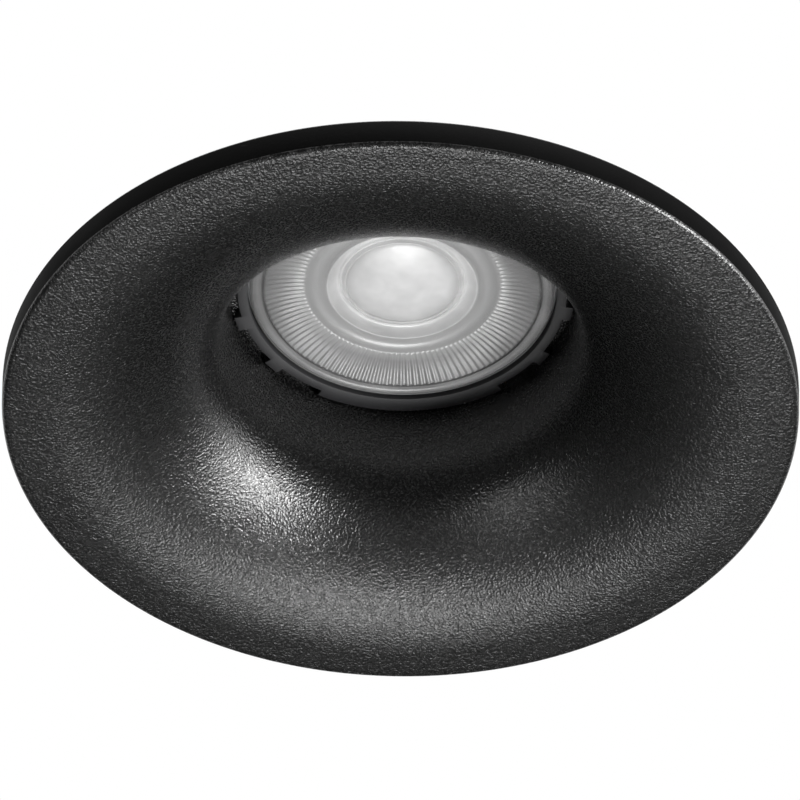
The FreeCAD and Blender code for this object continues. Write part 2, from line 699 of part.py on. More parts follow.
def make_lamp_body():
    body = new_body("lamp_body")
    section = new_sketch(body, "XZ_Plane")
    outline(
        section,
        ("mouth_radius", "rim_front"),
        ("rim_radius", "rim_front"),
        ("rim_radius", "rim_front + rim_height"),
        ("body_shoulder", "rim_front + rim_height + rim_step"),
        ("body_tail + tail_step", "body_end - tail_height", "body_swell", 1),
        ("body_tail", "body_end"),
        ("body_bore", "body_end"),
        ("body_bore", "bore_floor"),
        ("wire_hole", "bore_floor"),
        ("wire_hole", "board_seat"),
        ("board_radius + snug", "board_seat"),
        ("board_radius + snug", "cone_end + cone_gap"),
        ("cone_out + play", "lens_back"),
        ("mouth_radius", "lens_back"),
    )
    revolve(section)
    slot = new_sketch(body, "XZ_Plane")
    outline(
        slot,
        ("body_shoulder - fin_depth", "fin_start", "body_swell", -1),
        ("rim_radius + past", "fin_start"),
        ("rim_radius + past", "fin_end"),
        ("body_tail + tail_step - fin_depth", "fin_end"),
    )
    around(body, [pocket(slot, "fin_slot", both=True)], "fin_count")


def make_led_board():
    piece("led_board", cylinder("board_radius", "board_thick", ("0", "0", "board_seat - board_thick")))
    low = "board_seat - board_thick - chip_thick"
    chips = []
    for index in range(9):
        angle = index * 45
        reach = "chip_circle" if index < 8 else "0"
        middle = ["%s * cos(%d)" % (reach, angle), "%s * sin(%d)" % (reach, angle)]
        corner = [text + " - chip_side / 2" for text in middle]
        chips.append(box(corner + [low], ("chip_side", "chip_side", "chip_thick")))
    piece("led_chips", group(*chips))


def make_driver():
    half = "board_thick / 2"
    board = box(("0 - driver_half", "0 - " + half, "bore_floor"),
                ("driver_half * 2", "board_thick", "driver_length"))
    piece("driver_board", board)
    middle = "bore_floor + driver_length / 2"
    capacitor = cylinder("capacitor_radius", "capacitor_length",
                         ("0 - capacitor_radius", half, middle), along_y)
    choke = cylinder("choke_radius", "choke_length",
                     ("driver_half - choke_radius - choke_inset", half, middle), along_y)
    coil = box(("0 - coil_side / 2", "0 - %s - coil_side" % half, middle + " - coil_side / 2"),
               ("coil_side", "coil_side", "coil_side"))
    piece("driver_components", group(capacitor, choke, coil))


def make_lamp_base():
    body = new_body("lamp_base")
    plug = "body_bore - snug * 2"
    inside = "base_neck - base_wall"
    section = new_sketch(body, "XZ_Plane")
    outline(
        section,
        (plug, "body_end - base_plug"),
        (plug, "body_end"),
        ("body_tail", "body_end"),
        ("body_tail", "body_end + base_lip"),
        ("base_neck", "neck_start", "neck_sweep", 1),
        ("base_neck", "base_end"),
        ("0", "base_end"),
        ("0", "base_end - base_wall * 2"),
        (inside, "base_end - base_wall * 2"),
        (inside, "neck_start - neck_drop"),
        (plug + " - base_wall", "body_end + base_lip"),
        (plug + " - base_wall", "body_end - base_plug"),
    )
    revolve(section)
    pins = []
    for side in ("0 - pin_spread", "pin_spread"):
        high = "base_end + shank_length"
        shank = cylinder("shank_radius", "shank_length", (side, "0", "base_end"))
        head = cylinder("head_radius", "head_height - head_chamfer", (side, "0", high))
        top = cone("head_radius", "head_radius - head_chamfer", "head_chamfer",
                   (side, "0", high + " + head_height - head_chamfer"))
        pins.append(fused(shank, head, top))
    piece("lamp_pins", group(*pins))


# ---- lampholder ----------------------------------------------------------------------------

def socket_outline(body, low):
    flat = "sqrt(socket_radius^2 - socket_half^2)"
    return outline(
        new_sketch(body, "XY_Plane", low),
        (flat, "0 - socket_half"),
        ("socket_radius", "0", "socket_radius", 1),
        (flat, "socket_half", "socket_radius", 1),
        ("0 - " + flat, "socket_half"),
        ("0 - socket_radius", "0", "socket_radius", 1),
        ("0 - " + flat, "0 - socket_half", "socket_radius", 1),
    )


# A bent keyhole: the pin enters at its far end and turns to its near end.
def pin_track(body, radius, low, high):
    width = "%s + slot_play" % radius
    section = new_sketch(body, "XZ_Plane")
    rectangle(section, "pin_spread - (%s)" % width, low, "pin_spread + " + width, high)
    sweep = revolve(section, "twist_angle", cut=True, back=True)
    around(body, [sweep], "2")
    lift = new_sketch(body, "XY_Plane", low)
    circle(lift, "pin_spread", "0", width + " + snug")
    around(body, [pocket(lift, "%s - (%s)" % (high, low), back=True)], "2")


def pin_entry(body):
    lift = new_sketch(body, "XY_Plane", "socket_low")
    circle(lift, "pin_spread * cos(twist_angle)", "0 - pin_spread * sin(twist_angle)",
           "head_radius + slot_play + snug")
    around(body, [pocket(lift, "channel_top - socket_low", back=True)], "2")


def make_socket_body():
    body = new_body("socket_body")
    pad(socket_outline(body, "socket_low"), "socket_height")
    pin_track(body, "shank_radius", "socket_low", "channel_low")
    pin_track(body, "head_radius", "channel_low", "channel_top")
    pin_entry(body)
    cavity = new_sketch(body, "XY_Plane", "channel_top")
    rectangle(cavity, "pin_spread - cavity_reach", "0 - cavity_half", "pin_spread + cavity_reach",
              "cavity_half")
    around(body, [pocket(cavity, "socket_top - channel_top", back=True)], "2")
    holes = new_sketch(body, "XY_Plane", "socket_low")
    circle(holes, "socket_screw_x", "0", "screw_radius + snug")
    around(body, [pocket(holes, "socket_height", back=True)], "2")
    wells = new_sketch(body, "XY_Plane", "socket_low")
    circle(wells, "socket_screw_x", "0", "screw_head + play")
    around(body, [pocket(wells, "screw_head_height + play", back=True)], "2")


def make_socket_cover():
    body = new_body("socket_cover")
    pad(socket_outline(body, "socket_top"), "cover_plate")
    for x, radius in (("pin_spread", "lead_radius + play"), ("socket_screw_x", "screw_radius + snug")):
        hole = circle(new_sketch(body, "XY_Plane", "socket_top"), x, "0", radius)
        around(body, [pocket(hole, "cover_plate", back=True)], "2")


# Each contact is a leaf over the pin's head with an upright tab that carries the lead.
def make_contacts():
    contacts = []
    for sign in ("0 - ", ""):
        middle = sign + "pin_spread"
        leaf = box((middle + " - contact_reach", "0 - contact_half", "contact_low"),
                   ("contact_reach * 2", "contact_half * 2", "contact_thick"))
        tab = box((middle + " - contact_thick", "0 - contact_reach", "contact_low + contact_thick"),
                  ("contact_thick * 2", "contact_reach * 2", "contact_rise"))
        contacts.append(fused(leaf, tab))
    piece("socket_contacts", group(*contacts))


def make_socket_screws():
    screws = []
    for side in ("0 - socket_screw_x", "socket_screw_x"):
        spot = (side, "0", "socket_low + screw_head_height + play")
        length = "strap_high - socket_low - screw_head_height - play"
        screws.append(screw(spot, up, "screw_radius", length, "screw_head", "screw_head_height"))
    piece("socket_screws", group(*screws))


# ---- bridge --------------------------------------------------------------------------------

def make_bridge():
    body = new_body("bridge")
    outer = "bend + strap_thick"
    side = new_sketch(body, "YZ_Plane")
    outline(
        side,
        ("0", "strap_low"),
        ("leg_place - bend", "strap_low"),
        ("leg_place", "strap_low - bend", "bend", -1),
        ("leg_place", "boss_top + " + outer),
        ("leg_place + " + outer, "boss_top", outer, 1),
        ("foot_end", "boss_top"),
        ("foot_end", "boss_top + strap_thick"),
        ("leg_place + " + outer, "boss_top + strap_thick"),
        ("leg_place + strap_thick", "boss_top + " + outer, "bend", -1),
        ("leg_place + strap_thick", "strap_low - bend"),
        ("leg_place - bend", "strap_high", outer, 1),
        ("0", "strap_high"),
    )
    half = pad(side, "strap_half * 2", both=True)
    mirrored(body, [half], "XZ_Plane")
    front = new_sketch(body, "XZ_Plane")
    rectangle(front, "leg_half", "boss_top - past", "strap_half + past", "leg_top")
    rectangle(front, "0 - strap_half - past", "boss_top - past", "0 - leg_half", "leg_top")
    rectangle(front, "0 - window_half", "window_low", "window_half", "window_high")
    pocket(front, "(foot_end + past) * 2", both=True)
    feet = new_sketch(body, "XY_Plane", "boss_top")
    boss_y = "(boss_in + boss_out) / 2"
    circle(feet, "0", boss_y, "screw_radius + snug")
    circle(feet, "0", "0 - " + boss_y, "screw_radius + snug")
    pocket(feet, "strap_thick", back=True)
    top = new_sketch(body, "XY_Plane", "strap_low")
    for sign in ("0 - ", ""):
        circle(top, sign + "pin_spread", "0", "lead_radius + play * 2")
        circle(top, sign + "socket_screw_x", "0", "screw_radius + snug")
        circle(top, "box_screw_x", sign + "box_screw_y", "small_screw + snug")
    circle(top, "0 - earth_x", "earth_y", "screw_radius + snug")
    pocket(top, "strap_thick", back=True)


def make_bridge_screws():
    screws = []
    for sign in ("0 - ", ""):
        spot = ("0", sign + "(boss_in + boss_out) / 2", "boss_top + strap_thick")
        length = "boss_depth + strap_thick - tip_room"
        thread = "boss_hole - snug"
        screws.append(screw(spot, up * -1, thread, length, "screw_head", "screw_head_height"))
    piece("bridge_screws", group(*screws))


# ---- terminal box --------------------------------------------------------------------------

def box_outline(sketch, inset):
    back, front = "0 - box_back + " + inset, "box_front - " + inset
    half = "box_half - " + inset
    corner = "(box_round - %s)" % inset
    return outline(
        sketch,
        ("%s + %s" % (back, corner), "0 - (%s)" % half, corner, 1),
        ("%s - %s" % (front, corner), "0 - (%s)" % half),
        (front, "%s - (%s)" % (corner, half), corner, 1),
        (front, "%s - %s" % (half, corner)),
        ("%s - %s" % (front, corner), half, corner, 1),
        ("%s + %s" % (back, corner), half),
        (back, "%s - %s" % (half, corner), corner, 1),
        (back, "%s - (%s)" % (corner, half)),
    )


def make_terminal_box():
    body = new_body("terminal_box")
    pad(box_outline(new_sketch(body, "XY_Plane", "strap_high"), "0"), "box_height")
    inside = box_outline(new_sketch(body, "XY_Plane", "floor_top"), "box_wall")
    pocket(inside, "box_height", back=True)
    posts = new_sketch(body, "XY_Plane", "strap_high")
    circle(posts, "grip_x", "grip_screw_y", "post_radius")
    circle(posts, "grip_x", "0 - grip_screw_y", "post_radius")
    pad(posts, "box_floor + post_height")
    pillar = new_sketch(body, "XY_Plane", "strap_high")
    circle(pillar, "0 - pillar_x", "0 - pillar_y", "pillar_radius")
    pad(pillar, "box_height")
    drill = new_sketch(body, "XY_Plane", "box_top")
    circle(drill, "0 - pillar_x", "0 - pillar_y", "small_screw + snug")
    pocket(drill, "box_height - box_floor")
    drill = new_sketch(body, "XY_Plane", "floor_top + post_height")
    circle(drill, "grip_x", "grip_screw_y", "small_screw + snug")
    circle(drill, "grip_x", "0 - grip_screw_y", "small_screw + snug")
    pocket(drill, "post_height")
    floor = new_sketch(body, "XY_Plane", "strap_high")
    circle(floor, "pin_spread", "0", "lead_radius + play")
    circle(floor, "0 - pin_spread", "0", "lead_radius + play")
    circle(floor, "box_screw_x", "box_screw_y", "small_screw + snug")
    circle(floor, "box_screw_x", "0 - box_screw_y", "small_screw + snug")
    pocket(floor, "box_floor", back=True)
    inlet = new_sketch(body, "YZ_Plane", "box_front")
    circle(inlet, "0", "inlet_z", "inlet_radius")
    pocket(inlet, "box_wall")
    notch = new_sketch(body, "XZ_Plane", "0 - box_half")
    rectangle(notch, "0 - earth_x - lead_radius - play", "entry_z - lead_radius - play",
              "lead_radius + play - earth_x", "box_top + past")
    pocket(notch, "box_wall", back=True)


def make_terminal_cover():
    body = new_body("terminal_cover")
    pad(box_outline(new_sketch(body, "XY_Plane", "box_top"), "0"), "box_floor")
    hole = new_sketch(body, "XY_Plane", "box_top")
    circle(hole, "0 - pillar_x", "0 - pillar_y", "small_screw + snug")
    pocket(hole, "box_floor", back=True)
    spot = ("0 - pillar_x", "0 - pillar_y", "box_top + box_floor")
    length = "box_floor + box_height / 2"
    piece("cover_screw", screw(spot, up * -1, "small_screw", length, "small_head", "small_head_height"))


def make_box_screws():
    screws = []
    for sign in ("0 - ", ""):
        spot = ("box_screw_x", sign + "box_screw_y", "floor_top")
        length = "box_floor + strap_thick"
        screws.append(screw(spot, up * -1, "small_screw", length, "small_head", "small_head_height"))
    piece("box_screws", group(*screws))


def make_terminal_block():
    body = new_body("terminal_block")
    web = new_sketch(body, "XY_Plane", "floor_top")
    rectangle(web, "block_start + web_inset", "0 - web_half",
              "block_start + block_length - web_inset", "web_half")
    pad(web, "web_thick")
    poles = new_sketch(body, "XY_Plane", "floor_top")
    places = ("0 - pole_pitch", "0", "pole_pitch")
    for y in places:
        rectangle(poles, "block_start", y + " - pole_half", "block_start + block_length",
                  y + " + pole_half")
    pad(poles, "block_height")
    entries = new_sketch(body, "YZ_Plane", "block_start")
    for y in places:
        circle(entries, y, "entry_z", "entry_radius")
    pocket(entries, "block_length", back=True)
    wells = new_sketch(body, "XY_Plane", "entry_z")
    for y in places:
        circle(wells, "block_start + clamp_inset", y, "clamp_radius + play")
        circle(wells, "block_start + block_length - clamp_inset", y, "clamp_radius + play")
    pocket(wells, "floor_top + block_height - entry_z", back=True)
    sleeves, screws = [], []
    for y in places:
        outer, length = "entry_radius - snug", "block_length - play * 2"
        spot = ("block_start + play", y, "entry_z")
        bore = cylinder("sleeve_bore", length, spot, along_x)
        sleeves.append(cut(cylinder(outer, length, spot, along_x), bore))
        for x in ("block_start + clamp_inset", "block_start + block_length - clamp_inset"):
            low = "entry_z + %s" % outer
            height = "floor_top + block_height - entry_z - (%s) - play" % outer
            screws.append(cylinder("clamp_radius", height, (x, y, low)))
    piece("terminal_sleeves", group(*sleeves))
    piece("terminal_screws", group(*screws))


def make_cord_grip():
    body = new_body("cord_grip")
    low = "floor_top + post_height"
    shoulder = low + " + grip_thick"
    inner, outer = "(cable_radius + play)", "(cable_radius + play + grip_wall)"
    side = new_sketch(body, "YZ_Plane", "grip_x")
    outline(
        side,
        ("0 - grip_reach", low), ("0 - " + inner, low), ("0 - " + inner, "inlet_z"),
        ("0", "inlet_z + " + inner, inner, -1), (inner, "inlet_z", inner, -1),
        (inner, low), ("grip_reach", low), ("grip_reach", shoulder), (outer, shoulder),
        (outer, "inlet_z"), ("0", "inlet_z + " + outer, outer, 1),
        ("0 - " + outer, "inlet_z", outer, 1), ("0 - " + outer, shoulder),
        ("0 - grip_reach", shoulder),
    )
    pad(side, "grip_half * 2", both=True)
    holes = new_sketch(body, "XY_Plane", low)
    circle(holes, "grip_x", "grip_screw_y", "small_screw + snug")
    circle(holes, "grip_x", "0 - grip_screw_y", "small_screw + snug")
    pocket(holes, "grip_thick", back=True)
    screws = []
    for sign in ("0 - ", ""):
        spot = ("grip_x", sign + "grip_screw_y", shoulder)
        length = "grip_thick + post_height - tip_room"
        screws.append(screw(spot, up * -1, "small_screw", length, "small_head", "small_head_height"))
    piece("grip_screws", group(*screws))


def make_grommet():
    inside = "box_front - box_wall - grommet_thick"
    length = "box_wall + grommet_thick * 2"
    inner = cylinder("grommet_flange", "grommet_thick", (inside, "0", "inlet_z"), along_x)
    outer = cylinder("grommet_flange", "grommet_thick", ("box_front", "0", "inlet_z"), along_x)
    neck = cylinder("inlet_radius - snug", length, (inside, "0", "inlet_z"), along_x)
    bore = cylinder("cable_radius", length, (inside, "0", "inlet_z"), along_x)
    piece("inlet_grommet", cut(fused(inner, outer, neck), bore))


def make_earth_tag():
    back, end = "0 - earth_x - tag_half", "earth_y + tag_half"
    start = "barrel_y - tag_tail"
    plate = box((back, start, "strap_high"), ("tag_half * 2", "%s - (%s)" % (end, start), "tag_thick"))
    barrel = cylinder("lead_radius + tag_thick", "barrel_height",
                      ("0 - earth_x", "barrel_y", "strap_high + tag_thick"))
    hole = cylinder("screw_radius + snug", "tag_thick", ("0 - earth_x", "earth_y", "strap_high"))
    piece("earth_tag", cut(fused(plate, barrel), hole))
    spot = ("0 - earth_x", "earth_y", "strap_high + tag_thick")
    length = "tag_thick + strap_thick + earth_tip"
    piece("earth_screw", screw(spot, up * -1, "screw_radius", length, "screw_head", "screw_head_height"))


# ---- wires: inner leads and springs --------------------------------------------------------

# Straight runs joined by tangent arcs, each as large as its two runs allow.
def rounded_path(points):
    edges = []
    start = points[0]
    for before, corner, after in zip(points, points[1:], points[2:]):
        come, leave = corner - before, after - corner
        half_turn = come.getAngle(leave) / 2
        reach = number("corner_share") * min(come.Length, leave.Length)
        radius = reach / math.tan(half_turn)
        first = corner - Vector(come).normalize() * reach
        last = corner + Vector(leave).normalize() * reach
        inward = (first + last) * 0.5 - corner
        middle = corner + inward.normalize() * (radius / math.cos(half_turn) - radius)
        edges.append(Part.LineSegment(start, first).toShape())
        edges.append(Part.Arc(first, middle, last).toShape())
        start = last
    edges.append(Part.LineSegment(start, points[-1]).toShape())
    return Part.Wire(edges)


def tube(path, radius):
    start = path.Vertexes[0].Point
    heading = path.Edges[0].tangentAt(path.Edges[0].FirstParameter)
    ring = Part.Wire(Part.makeCircle(radius, start, heading))
    return path.makePipeShell([ring], True, False)


def wire_piece(name, path, radius):
    thing = doc.addObject("Part::Feature", name)
    thing.Shape = tube(path, radius)
    return piece(name, thing)


def make_leads():
    pin, start = number("pin_spread"), number("contact_top")
    block, entry = number("block_start"), number("entry_z")
    pitch, radius = number("pole_pitch"), number("lead_radius")
    turn = number("floor_top") + 2 * radius
    for name, x, y in (("live_lead", -pin, -pitch), ("neutral_lead", pin, pitch)):
        points = [Vector(x, 0, start), Vector(x, 0, turn), Vector(x, y, entry), Vector(block, y, entry)]
        wire_piece(name, rounded_path(points), radius)
    back, barrel = -number("earth_x"), number("barrel_y")
    low = number("strap_high + tag_thick + barrel_height")
    points = [Vector(block, 0, entry), Vector(back, 0, entry), Vector(back, barrel, entry),
              Vector(back, barrel, low)]
    wire_piece("earth_lead", rounded_path(points), radius)


def arc_between(start, heading, end):
    chord = end - start
    reach = chord.Length ** 2 / (2 * chord.dot(heading))
    corner = start + heading * reach
    inward = (start + end) * 0.5 - corner
    share = chord.Length / (2 * reach)
    return Part.Arc(start, corner + inward * (1 / (1 + share)), end).toShape()


# Two tangent arcs from one helix point to the next.
def biarc(start, heading, end, leaving):
    chord = end - start
    spread = heading + leaving
    a = 2 * (heading.dot(leaving) - 1)
    b = -2 * chord.dot(spread)
    c = chord.dot(chord)
    reach = (-b - math.sqrt(b * b - 4 * a * c)) / (2 * a)
    middle = (start + heading * reach + end - leaving * reach) * 0.5
    back = arc_between(end, leaving * -1, middle)
    return [arc_between(start, heading, middle), back]


def spring_path():
    mean, pitch = number("spring_mean"), number("spring_pitch")
    tail = math.radians(number("spring_tail_angle"))
    first = tail - math.pi / 2
    last = first - tail + 2 * math.pi * number("spring_turns")
    rise = pitch / (2 * math.pi)
    hub = Vector(number("hinge_x"), 0, number("hinge_z"))
    start_y = -rise * (last - first) / 2

    def spot(angle):
        return hub + Vector(mean * math.cos(angle), start_y + rise * (angle - first),
                            mean * math.sin(angle))

    def heading(angle):
        return Vector(-mean * math.sin(angle), rise, mean * math.cos(angle)).normalize()

    def flat(angle):
        return Vector(-math.sin(angle), 0, math.cos(angle))

    steps = math.ceil((last - first) / (math.pi / 2))
    angles = [first + (last - first) * step / steps for step in range(steps + 1)]
    edges = []
    for a, b in zip(angles, angles[1:]):
        edges += biarc(spot(a), heading(a), spot(b), heading(b))
    # the fixed leg droops until its end lies on the casting's back
    droop = flat(first) * -1
    away = spot(first) - Vector(number("bell_start"), spot(first).y, number("bell_centre"))
    room = number("back_bell - play - spring_wire / 2")
    dot = away.dot(droop)
    tail_length = -dot + math.sqrt(dot * dot - away.dot(away) + room * room)
    edges.insert(0, arc_between(spot(first), heading(first) * -1, spot(first) + droop * tail_length))
    leg_end = spot(last) + flat(last) * number("spring_leg")
    edges.append(arc_between(spot(last), heading(last), leg_end))
    samples = [spot(first + step * math.pi / 36) for step in range(int(72 * (last - first) / math.pi / 2))]
    apart = min((a - b).Length for i, a in enumerate(samples) for b in samples[i + 36:])
    print("clip spring: least gap between turns %.2f mm" % (apart - number("spring_wire")))
    return Part.Wire(edges)


# ---- spring clips --------------------------------------------------------------------------

def turn_to_side(thing, angle):
    thing.Placement = FreeCAD.Placement(Vector(0, 0, 0), FreeCAD.Rotation(up, angle))


def make_clip_arm(side, angle):
    body = new_body("clip_arm_" + side)
    web = new_sketch(body, "XY_Plane", "web_low")
    half = "clip_width / 2"
    tip = "clip_reach - clip_tip"
    outline(web, ("clip_root", "0 - " + half), ("clip_taper", "0 - " + half), (tip, "0 - clip_tip"),
            ("clip_reach", "0", "clip_tip", 1), (tip, "clip_tip", "clip_tip", 1),
            ("clip_taper", half), ("clip_root", half))
    pad(web, "clip_sheet")
    cheeks = []
    for lift in (half + " - clip_sheet", "0 - " + half):
        cheek = new_sketch(body, "XZ_Plane", lift)
        outline(cheek, ("hinge_x - cheek_round", "hinge_z", "cheek_round", 1),
                ("hinge_x", "hinge_z - cheek_round", "cheek_round", 1),
                ("clip_root", "web_low"), ("cheek_reach", "web_low"),
                ("cheek_reach", "web_high + cheek_edge"), ("hinge_x + cheek_round", "hinge_z"),
                ("hinge_x", "hinge_z + cheek_round", "cheek_round", 1))
        cheeks.append(pad(cheek, "clip_sheet"))
    bore = circle(new_sketch(body, "XZ_Plane"), "hinge_x", "hinge_z", "pin_radius + pin_play")
    pocket(bore, "clip_width + past * 2", both=True)
    window = new_sketch(body, "XY_Plane", "web_low")
    high = "clip_window_half"
    outline(window, ("clip_window_start", "0 - " + high, high, 1),
            ("clip_window_end", "0 - " + high), ("clip_window_end + " + high, "0", high, 1),
            ("clip_window_end", high, high, 1), ("clip_window_start", high),
            ("clip_window_start - " + high, "0", high, 1))
    pocket(window, "clip_sheet", back=True)
    turn_to_side(body, angle)


def make_clip_pad(side, angle):
    sleeve = box(("pad_start", "0 - clip_width / 2 - pad_wall", "web_low - pad_wall"),
                 ("clip_reach - pad_start + pad_wall", "clip_width + pad_wall * 2",
                  "clip_sheet + pad_wall * 2"))
    doc.recompute()
    rounded = doc.addObject("Part::Fillet", "rounded")
    rounded.Base = sleeve
    radius = number("pad_round")
    rounded.Edges = [(index + 1, radius, radius) for index in range(len(sleeve.Shape.Edges))]
    space = box(("pad_start - past", "0 - clip_width / 2 - snug", "web_low - snug"),
                ("clip_reach - pad_start + past + snug", "clip_width + snug * 2",
                 "clip_sheet + snug * 2"))
    thing = cut(rounded, space)
    turn_to_side(thing, angle)
    piece("clip_pad_" + side, thing)


def make_hinge_pin(side, angle):
    start = ("hinge_x", "0 - ear_high", "hinge_z")
    shank = cylinder("pin_radius", "ear_high * 2", start, along_y)
    low = cylinder("rivet_radius", "rivet_height", ("hinge_x", "0 - ear_high - rivet_height", "hinge_z"),
                   along_y)
    high = cylinder("rivet_radius", "rivet_height", ("hinge_x", "ear_high", "hinge_z"), along_y)
    thing = fused(shank, low, high)
    turn_to_side(thing, angle)
    piece("hinge_pin_" + side, thing)


def make_clips():
    path = spring_path()
    for side, angle in (("right", 0), ("left", 180)):
        make_clip_arm(side, angle)
        make_clip_pad(side, angle)
        make_hinge_pin(side, angle)
        spring = wire_piece("clip_spring_" + side, path, number("spring_wire / 2"))
        turn_to_side(spring, angle)


# ---- build, check and write ----------------------------------------------------------------

make_trim()
make_gasket()
make_lamp_ring()
make_optic()
make_lamp_body()
make_led_board()
make_driver()
make_lamp_base()
make_socket_body()
make_socket_cover()
make_contacts()
make_socket_screws()
make_bridge()
make_bridge_screws()
make_terminal_box()
make_terminal_cover()
make_box_screws()
make_terminal_block()
make_cord_grip()
make_grommet()
make_earth_tag()
make_leads()
make_clips()
doc.recompute()

for thing in doc.Objects:
    if "Invalid" in thing.State or "Error" in thing.State:
        raise RuntimeError("%s did not build: %s" % (thing.Name, thing.State))
for thing in cuts:
    if thing.Shape.Volume > thing.BaseFeature.Shape.Volume - 0.01:
        raise RuntimeError("%s cuts nothing" % thing.Name)
for thing in pieces:
    if thing.Shape.isNull() or not thing.Shape.isValid() or not thing.Shape.Solids:
        raise RuntimeError("%s has no sound shape" % thing.Label)

os.makedirs("parts", exist_ok=True)
for thing in pieces:
    thing.Shape.exportStep("parts/%s.step" % thing.Label)
print("%d nodes, %d solids" % (len(pieces), sum(len(thing.Shape.Solids) for thing in pieces)))
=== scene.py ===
import math
import bmesh
import bpy
from mathutils import Matrix, Vector


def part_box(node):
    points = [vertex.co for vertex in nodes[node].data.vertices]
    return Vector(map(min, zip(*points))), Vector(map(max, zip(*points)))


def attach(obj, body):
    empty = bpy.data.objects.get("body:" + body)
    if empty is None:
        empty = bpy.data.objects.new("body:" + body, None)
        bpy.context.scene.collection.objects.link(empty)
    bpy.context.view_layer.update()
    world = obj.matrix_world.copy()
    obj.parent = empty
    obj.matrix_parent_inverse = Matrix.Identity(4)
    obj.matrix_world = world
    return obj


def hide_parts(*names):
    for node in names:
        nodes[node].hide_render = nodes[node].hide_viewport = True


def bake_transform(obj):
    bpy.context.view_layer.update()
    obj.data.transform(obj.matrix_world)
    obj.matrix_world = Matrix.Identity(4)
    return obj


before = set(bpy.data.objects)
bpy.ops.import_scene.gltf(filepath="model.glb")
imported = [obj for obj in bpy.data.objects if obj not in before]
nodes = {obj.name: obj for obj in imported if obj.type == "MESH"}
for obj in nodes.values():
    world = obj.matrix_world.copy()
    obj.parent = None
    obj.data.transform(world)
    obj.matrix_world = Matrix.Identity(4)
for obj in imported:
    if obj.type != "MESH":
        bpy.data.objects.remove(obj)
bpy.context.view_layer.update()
mm = 0.001
print("frame loaded:", len(nodes), "nodes")


class Wire:  # a shader socket that takes part in plain arithmetic
    def __init__(self, graph, socket):
        self.graph = graph
        self.socket = socket

    def calc(self, operation, first, second):
        return self.graph.node("ShaderNodeMath", {"operation": operation}, {0: first, 1: second})

    def __add__(self, other):
        return self.calc("ADD", self, other)

    def __radd__(self, other):
        return self.calc("ADD", other, self)

    def __sub__(self, other):
        return self.calc("SUBTRACT", self, other)

    def __rsub__(self, other):
        return self.calc("SUBTRACT", other, self)

    def __mul__(self, other):
        return self.calc("MULTIPLY", self, other)

    def __rmul__(self, other):
        return self.calc("MULTIPLY", other, self)

    def __truediv__(self, other):
        return self.calc("DIVIDE", self, other)

    def __rtruediv__(self, other):
        return self.calc("DIVIDE", other, self)


class Graph:  # one material's node tree
    def __init__(self, name):
        self.material = bpy.data.materials.new(name)
        self.material.use_nodes = True
        self.tree = self.material.node_tree
        self.tree.nodes.clear()

    def node(self, kind, settings=None, inputs=None, output=0):
        made = self.tree.nodes.new(kind)
        for key, value in (settings or {}).items():
            if key == "stops":
                self.setStops(made.color_ramp, value)
            else:
                setattr(made, key, value)
        for key, value in (inputs or {}).items():
            self.feed(made.inputs[key], value)
        return Wire(self, made.outputs[output]) if len(made.outputs) else made

    def setStops(self, ramp, stops):
        while len(ramp.elements) < len(stops):
            ramp.elements.new(1.0)
        for element, (place, shade) in zip(ramp.elements, stops):
            element.position = place
            element.color = (shade, shade, shade, 1.0)

    def feed(self, socket, value):
        if isinstance(value, Wire):
            self.tree.links.new(value.socket, socket)
        else:
            socket.default_value = value

    def place(self):
        return self.node("ShaderNodeTexCoord", output=3)

    def noise(self, scale, detail=2.0, roughness=0.5, where=None):
        return self.node("ShaderNodeTexNoise", None, {
            "Vector": where or self.place(), "Scale": scale, "Detail": detail, "Roughness": roughness})

    def cells(self, scale, output=0):
        return self.node("ShaderNodeTexVoronoi", None, {"Vector": self.place(), "Scale": scale}, output)

    def stretched(self, scale):
        return self.node("ShaderNodeMapping", None, {"Vector": self.place(), "Scale": scale})

    def spread(self, value, low, high, start=0.0, end=1.0):
        return self.node("ShaderNodeMapRange", None, {
            "Value": value, "From Min": low, "From Max": high, "To Min": start, "To Max": end})

    def blend(self, share, first, second):
        return self.node("ShaderNodeMix", {"data_type": "RGBA"}, {0: share, 6: first, 7: second}, 2)

    def bump(self, height, distance):
        return self.node("ShaderNodeBump", None, {"Height": height, "Distance": distance, "Strength": 1.0})

    def surface(self, **values):
        named = {key.replace("_", " "): value for key, value in values.items()}
        shader = self.node("ShaderNodeBsdfPrincipled", None, named)
        self.finish(shader)
        return self.material

    def finish(self, shader):
        self.node("ShaderNodeOutputMaterial", None, {"Surface": shader})
        return self.material


def grey(level):
    return (level, level, level, 1.0)


def opaque(tone, share=1.0):  # a colour's three channels, scaled, with full alpha
    return tuple(channel * share for channel in tone) + (1.0,)


wear = {"scale": 75.0, "detail": 4.0, "roughness": 0.6, "low": 0.35, "high": 0.65}


def wearOf(graph, scale=wear["scale"]):  # slow patches of rubbed and duller finish
    cloud = graph.noise(scale, wear["detail"], wear["roughness"])
    return graph.spread(cloud, wear["low"], wear["high"])


powderCoat = {"base": 0.002, "speck": 0.013, "roughness": 0.27, "grain": 2900.0, "grainHeight": 0.00012}


def makePowderCoat():  # orange-peel grain with painted glints: pale specks painted on the crests; smoother crests than hollows
    g = Graph("powderCoat")
    grain = g.noise(powderCoat["grain"], 1.0, 0.5)
    patch = wearOf(g)
    crest = g.spread(grain, 0.5, 0.68)
    return g.surface(
        # painted glints: the grain's crests get a paler colour that stands in for their sparkle under the
        # light
        Base_Color=g.blend(crest, grey(powderCoat["base"]), grey(powderCoat["speck"])),
        Roughness=powderCoat["roughness"] + patch * 0.03 - crest * 0.12,
        Specular_IOR_Level=0.5,
        Normal=g.bump(grain, powderCoat["grainHeight"]))


